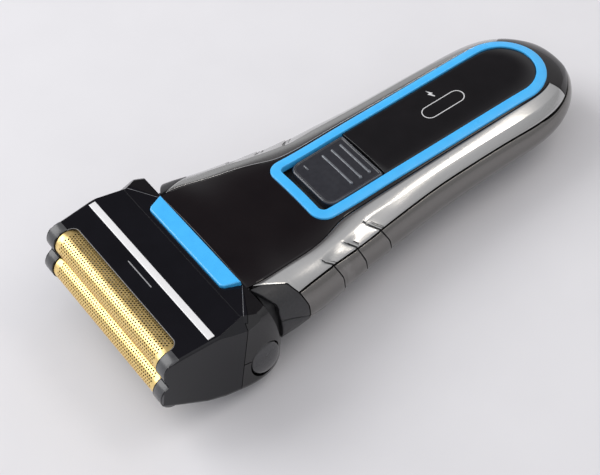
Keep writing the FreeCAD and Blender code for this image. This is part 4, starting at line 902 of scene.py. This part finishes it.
# how far each loop of the cap lies inside its outline and below its top
SLIDER_STEPS = [(0, 0.5), (0.06, 0.26), (0.22, 0.08), (0.45, 0.0), (0.8, 0.0), (0.95, 0.12), (1.15, 0.14),
                (2.0, 0.14), (3.0, 0.14), (4.2, 0.14), (5.6, 0.14), (7.0, 0.14), (8.4, 0.14)]


def slider_top(x, s):
    """Crowned top with a shallow thumb hollow on the head side of the ribs."""
    dish = 0.35 * np.exp(-((s - 73.0) / 3.4) ** 2) * np.clip(1 - (x / 8.6) ** 4, 0, 1)
    return SLIDER["top"] - SLIDER["fall"] * (x / SLIDER["x"]) ** 2 - dish


def slider_shape():
    """Cap of the slide switch: a raised rim round a very slightly sunk top."""
    loops = []
    for inset, drop in [(0, None)] + SLIDER_STEPS:
        plan = rounded_rect(SLIDER["x"] - inset, SLIDER_Y - inset,
                            max(0.2, 0.9 - inset * 0.5), max(0.4, 3.4 - inset * 0.9))
        x, s = plan[:, 0], plan[:, 1] + SLIDER_MIDDLE
        z = np.full(len(x), SLIDER["base"]) if drop is None else slider_top(x, s) - drop
        loops.append(at(x, s, z))
    return loops_shape(loops)


def bar_shape(x0, x1, s, half, height, base, sunk=0.4):
    """Raised rib with rounded section and ends, lying across the slider."""
    loops = []
    for f, h in ((1.0, -sunk), (1.0, height * 0.45), (0.86, height * 0.8), (0.55, height * 0.97),
                 (0.2, height)):
        pts = np.array(arc(x1, s, half * f, -90, 180, 6) + arc(x0, s, half * f, 90, 180, 6))
        loops.append(at(pts[:, 0], pts[:, 1], base(pts[:, 0], pts[:, 1]) + h))
    return loops_shape(loops)


def bolt_shape(cx, cs, size, rise=0.06):
    """Small lightning mark lying on the crowned window."""
    plan = [(0.1, 1.0), (-0.42, -0.12), (-0.06, -0.12), (-0.14, -1.0), (0.42, 0.2), (0.06, 0.2), (0.3, 1.0)]
    pts = np.array([(cx + y * size, cs + x * size) for x, y in plan])
    z = crown_z(pts[:, 0], pts[:, 1]) + 0.02
    both = [at(pts[:, 0], pts[:, 1], z + step) for step in (-0.15, rise)]
    return np.concatenate(both), prism_faces(len(plan))


def button_shape(side, base=27.9, rim=30.9, top=32.28, half=(4.5, 5.8)):
    """Domed oval push button, standing out of the side of the head."""
    dome = [(0.12, 0.965), (0.3, 0.93), (0.5, 0.84), (0.7, 0.68), (0.85, 0.49), (0.95, 0.28), (0.99, 0.12)]
    turns = np.linspace(0, 2 * math.pi, 48, endpoint=False)
    loops = []
    for x, r in [(base, 0.97), (rim, 0.97)] + [(rim + (top - rim) * k, r) for k, r in dome]:
        u, w = BUTTON_AT[0] + half[0] * r * np.cos(turns), BUTTON_AT[1] + half[1] * r * np.sin(turns)
        loops.append(head(side * x, u, w))
    return loops_shape(loops)


def lobe_shape(centre, side, near=25.93, far=29.9, radius=4.355, r=0.34):
    """Satin end cap round the arch at one end of a foil."""
    turns = np.linspace(-math.pi / 2, math.pi / 2 - 0.04, 41)[:, None]
    profile = np.array([
        (near, -1.2), (near, -r), (near + 0.3 * r, -0.3 * r), (near + r, 0.0), (far - r, 0.0),
        (far - 0.6 * r, -0.08 * r), (far - 0.3 * r, -0.3 * r), (far - 0.08 * r, -0.6 * r),
        (far, -r), (far, -1.2)])
    x, out = side * profile[:, 0], radius + profile[:, 1]
    grid = head(x, centre[0] - out * np.cos(turns), centre[1] + out * np.sin(turns))
    return ring_sweep(grid, closed_path=False)


def tube(line, r, across, up, sides):
    """Round section at each point of a line."""
    turns = np.linspace(0, 2 * math.pi, sides, endpoint=False)
    cos, sin = np.cos(turns)[None, :, None], np.sin(turns)[None, :, None]
    return line[:, None] + r * (across[:, None] * cos + up[:, None] * sin)


def bead_shape(path, r=0.13, sides=8, closed=False):
    """Fine rounded bead along a path of points, lying half sunk in the surface."""
    p = np.array(path, float)
    ahead = np.roll(p, -1, axis=0) - np.roll(p, 1, axis=0) if closed else np.gradient(p, axis=0)
    ahead = unit(ahead)
    up = unit(np.cross(np.cross(ahead, [0.0, 0.0, 1.0]), ahead))
    return ring_sweep(tube(p, r, np.cross(ahead, up), up, sides), closed_path=closed)


def slider_highlight_line():
    """Fine light line just inside the edge of the switch cap: a painted highlight for light caught on the
    cap's edge.
    """
    plan = rounded_rect(SLIDER["x"] - 0.5, SLIDER_Y - 0.5, 0.6, 2.9)
    x, s = plan[:, 0], plan[:, 1] + SLIDER_MIDDLE
    return bead_shape(at(x, s, slider_top(x, s) - 0.02), 0.07, 6, closed=True)


def cover_face_w(u):
    """Height of the head cover's front face in the head frame."""
    return np.interp(-u, [-5.9, 0.0, 9.9, 18.5, 25.0], [13.72, 13.05, 11.1, 8.75, 6.9])


def window_rim_highlight(half=25.9, edge=-17.3, r=2.4):
    """Light bead along the edge of the foil window, round its two corners: a painted highlight for light
    caught on the rim.
    """
    plan = [(-half, edge - r)] + arc(r - half, edge - r, r, 180, -90, 7)
    plan += [(x, edge) for x in np.linspace(-half + r, half - r, 9)[1:]]
    plan += [(-x, u) for x, u in plan[6::-1]]
    x, u = np.array(plan).T
    return bead_shape(head(x, u, cover_face_w(u) - 0.05))


def wing_highlight_line(side):
    """Light bead along the edge of one cover wing, from the neck bar to the corner facet: a painted highlight
    for light caught on that edge.
    """
    x, u = side * np.linspace(19.9, 28.8, 5), np.linspace(5.86, 0.26, 5)
    return bead_shape(head(x, u, cover_face_w(u) - 0.06), 0.1)


def coil_shape(radius, length, turns, wire, place):
    """Coil spring of round wire; place maps its two cross axes and its length to the common frame."""
    t = np.linspace(0, 1, int(turns * 24) + 1)
    a = 2 * math.pi * turns * t
    line = np.stack([radius * np.cos(a), radius * np.sin(a), length * t], axis=-1)
    ahead = unit(np.gradient(line, axis=0))
    out = np.stack([np.cos(a), np.sin(a), np.zeros(len(a))], axis=-1)
    grid = tube(line, wire, out, np.cross(ahead, out), 10)
    return ring_sweep(place(*np.moveaxis(grid, -1, 0)), closed_path=False)


# ---------------- pieces
def pair(stem, shape, finish, painted_shade=None):
    """One panel on the right flank and its mirror image on the left."""
    verts, faces = shape
    for side, flip in (("right", [1, 1, 1]), ("left", MIRROR)):
        node = "%s_%s" % (stem, side)
        make(node + "_form", (verts * flip, faces), finish, "handle", [node], painted_shade=painted_shade)


front = make("front_panel_form", front_panel_shape(), "black_gloss", "handle", ["front_panel"])
carve(front, prism_shape(outline(RING, -1.5), 15.0, 30.0))
# faces at the foot of each grip notch and ledge are painted dark: painted shade
pair("rail", rail_shape(), "gunmetal", notch_painted_shade)
band = make("side_band_form", belt_shape(), "gunmetal_low", "handle", ["side_band"], painted_shade=notch_painted_shade)
back = make("back_shell_form", back_shell_shape(), "gunmetal_low", "handle", ["back_shell"], painted_shade=notch_painted_shade)
pair("shoulder", shoulder_shape(), "shoulder_grey")
collar = make("shoulder_back_form", shoulder_back_shape(), "shoulder_grey", "handle", ["shoulder_back"])

# the back is open for the trimmer, for four screws and, with the band, for the charging lead
BAY_X, BAY_NEAR, BAY_FAR = 14.5, 41.3, 75.5
SCREW_X, SCREW_STATIONS, SCREW_R = 11.6, (88.0, 131.0), 2.62
BELOW, BAY_TOP, SCREW_TOP = -6.0, 9.0, 6.0
bay = [(-BAY_X, BAY_NEAR), (BAY_X, BAY_NEAR), (BAY_X, BAY_FAR), (-BAY_X, BAY_FAR)]
carve(back, prism_shape(bay, BELOW, BAY_TOP))
carve(collar, prism_shape(bay, BELOW, BAY_TOP))
for s in SCREW_STATIONS:
    for x in (-SCREW_X, SCREW_X):
        carve(back, prism_shape(arc(x, s, SCREW_R, 0, 360, 33)[:-1], BELOW, SCREW_TOP))
carve(band, socket_shape())

ring = band_on_panel(outline(RING), outline(RING_INNER), -1.5, 0.6, 0.28)
make("trim_ring_form", ring, "blue", "handle", ["trim_ring"])
make("status_lens_form", lens_shape(), "lens_black", "handle", ["status_lens"])
for key, centre in FOILS.items():
    for end, sign in SIDES:
        make("lobe_%s_%s" % (key, end), lobe_shape(centre, sign), "lobe_grey", "cover", slot="black_gloss",
             sharp=50)
    make("foil_%s_sheet" % key, foil_shape(centre), "foil_gold", "foil_" + key, ["foil_" + key], sharp=50)
# light beads on the foil window's rim and on the wing edges: painted highlights
make("window_rim_highlight_line", window_rim_highlight(), "painted_highlight_grey", "cover", slot="black_gloss", sharp=0)
for end, sign in SIDES:
    make("wing_highlight_line_" + end, wing_highlight_line(sign), "painted_highlight_grey", "cover", slot="black_gloss", sharp=0)


def slider_skin(x, s):
    """Sunk top of the switch cap, on which the ribs stand."""
    return slider_top(x, s) - 0.14


make("slide_switch_cap", slider_shape(), "slider_grey", "slider", ["slide_switch"])
# the ribs, the edge line and the mark are set lighter than the cap: painted highlights
for k, s in enumerate((78.0, 81.2, 84.2)):
    rib = merged([bar_shape(-6.6, 6.6, s, 0.34, 0.34, slider_skin),
                  bar_shape(6.5, 6.75, s, 0.46, 0.52, slider_skin)])
    make("slide_rib_%d" % (k + 1), rib, "rib_highlight_grey", "slider", slot="slider_grey")
make("slide_highlight_line", slider_highlight_line(), "rib_highlight_grey", "slider", slot="slider_grey", sharp=0)
mark = bar_shape(-7.2, -5.4, 72.0, 0.2, 0.16, slider_skin)
make("slide_mark_highlight", mark, "rib_highlight_grey", "slider", slot="slider_grey")
make("charge_mark", bolt_shape(-5.9, 115.7, 1.8), "print_white", "handle")


# ---------------- studio
def camera():
    """Long lens above the right flank, past the head's end; its place is in metres."""
    data = bpy.data.cameras.new("camera")
    data.lens, data.sensor_width, data.sensor_fit = 95.45, 36.0, "HORIZONTAL"
    data.clip_start, data.clip_end = 0.01, 20.0
    cam = bpy.data.objects.new("camera", data)
    right, up = Vector((0.5819, 0.8064, -0.1056)), Vector((-0.5841, 0.5047, 0.6357))
    turn = Matrix((right, up, right.cross(up))).transposed()
    cam.matrix_world = Matrix.Translation(Vector((0.25409, (-75.36 - MID) * MM, 0.34969))) @ turn.to_4x4()
    bpy.context.scene.collection.objects.link(cam)
    bpy.context.scene.camera = cam


def softbox(name, direction, distance, size, power, along=(1, 0, 0), tint=(1, 1, 1)):
    """Rectangular area light shining on the shaver from a direction, its width lying along an axis."""
    data = bpy.data.lights.new(name, "AREA")
    data.shape, data.size, data.size_y = "RECTANGLE", size[0], size[1]
    data.energy, data.color = power, tint
    lamp = bpy.data.objects.new(name, data)
    out = Vector(direction).normalized()
    wide = (Vector(along) - out * out.dot(Vector(along))).normalized()
    turn = Matrix((wide, out.cross(wide), out)).transposed()
    lamp.matrix_world = Matrix.Translation(Vector((0, 0, 0.015)) + out * distance) @ turn.to_4x4()
    bpy.context.scene.collection.objects.link(lamp)


def studio_world():
    """Soft surroundings, brightest overhead, with one dark flag that keeps black gloss black."""
    world = bpy.data.worlds.new("studio")
    bpy.context.scene.world = world
    world.use_nodes = True
    tree = world.node_tree
    place = new_node(tree, "TexCoord")

    def toward(direction, start, end, away, facing):
        dot = new_node(tree, "VectorMath")
        dot.operation = "DOT_PRODUCT"
        dot.inputs[1].default_value = Vector(direction).normalized()
        tree.links.new(place.outputs["Generated"], dot.inputs[0])
        node = ramp(tree, dot.outputs["Value"], start, end, away, facing)
        node.color_ramp.interpolation = "EASE"
        return node.outputs["Color"]

    both = new_node(tree, "MixRGB", Fac=1.0)
    both.blend_type = "MULTIPLY"
    tree.links.new(toward((0, 0, 1), 0.0, 0.9, (0.50, 0.50, 0.51), (0.76, 0.76, 0.78)), both.inputs["Color1"])
    flag = toward((-0.62, 0.38, 0.68), 0.90, 0.975, (1.0, 1.0, 1.0), (0.16, 0.15, 0.155))
    tree.links.new(flag, both.inputs["Color2"])
    tree.links.new(both.outputs["Color"], tree.nodes["Background"].inputs["Color"])


bpy.context.scene.view_settings.view_transform = "Standard"
camera()
studio_world()
softbox("key", (-0.8, -0.5, 0.75), 1.2, (0.9, 0.9), 8.5)
softbox("crest_strip", (0.27, 0.48, 0.80), 1.0, (0.56, 0.07), 1.15, along=(0.9, 0.2, -0.4),
        tint=(1.0, 0.93, 0.84))
FLOOR_HALF = 3.0        # metres
mesh = bpy.data.meshes.new("floor")
mesh.from_pydata([(x * FLOOR_HALF, y * FLOOR_HALF, 0) for x, y in ((-1, -1), (1, -1), (1, 1), (-1, 1))], [],
                 [(0, 1, 2, 3)])
floor = bpy.data.objects.new("floor", mesh)
paper = material("floor_paper", (0.74, 0.735, 0.76), (0.76, 0.755, 0.78), 40, (0.55, 0.65), 0.02, 300)
mesh.materials.append(paper)
bpy.context.scene.collection.objects.link(floor)

# ---------------- buttons and springs
for end, sign in SIDES:
    make("button_%s_dome" % end, button_shape(sign), "button_grey", "button_" + end,
         ["release_button_" + end])

# each coil starts at its seat; the travels are how far the part that presses on it moves
SEAT, BUTTON_TRAVEL, BUTTON_WIRE, BUTTON_COIL = 25.43, 1.3, 0.22, 2.0
for end, sign in SIDES:
    coil = coil_shape(2.4, BUTTON_COIL, 2.5, BUTTON_WIRE, lambda a, b, along: head(
        sign * (SEAT + BUTTON_WIRE + along), BUTTON_AT[0] + a, BUTTON_AT[1] + b))
    spring = make("button_coil_" + end, coil, "spring_steel", "handle", ["button_spring_" + end], sharp=0)
    tuple(head(sign * SEAT, *BUTTON_AT) * MM)
    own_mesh(spring)
POST_X, PLATE_U, FLOAT_TRAVEL, CUTTER_WIRE = 12.0, -2.6, 1.2, 0.25
CUTTER_FOOT = 9.3       # from the axis of a foil's arch to the foot of its cutter
for key, (foil_u, foil_w) in FOILS.items():
    room = PLATE_U - foil_u - CUTTER_FOOT
    coils = [coil_shape(1.95, room - 2 * CUTTER_WIRE, 4, CUTTER_WIRE, lambda a, b, along: head(
        x + a, PLATE_U - CUTTER_WIRE - along, foil_w + b)) for x in (-POST_X, POST_X)]
    spring = make("cutter_coils_" + key, merged(coils), "spring_steel", "bridge", ["cutter_spring_" + key],
                  sharp=0)
    tuple(head(0, PLATE_U, foil_w) * MM)
    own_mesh(spring)

# ---------------- CAD nodes
# nodes whose look differs from their slot's
LOOKS = {"head_cover": "cover_black", "foil_frame_front": "lobe_grey", "foil_frame_rear": "lobe_grey",
         "index_mark": "print_dim"}
SHARP_NODES = {"head_base"}
for part in frame["record"]["subparts"]:
    node = part["node"]
    dress(node, LOOKS.get(node, part["material_slot"]), bevel=0.0 if node in SHARP_NODES else 0.15)
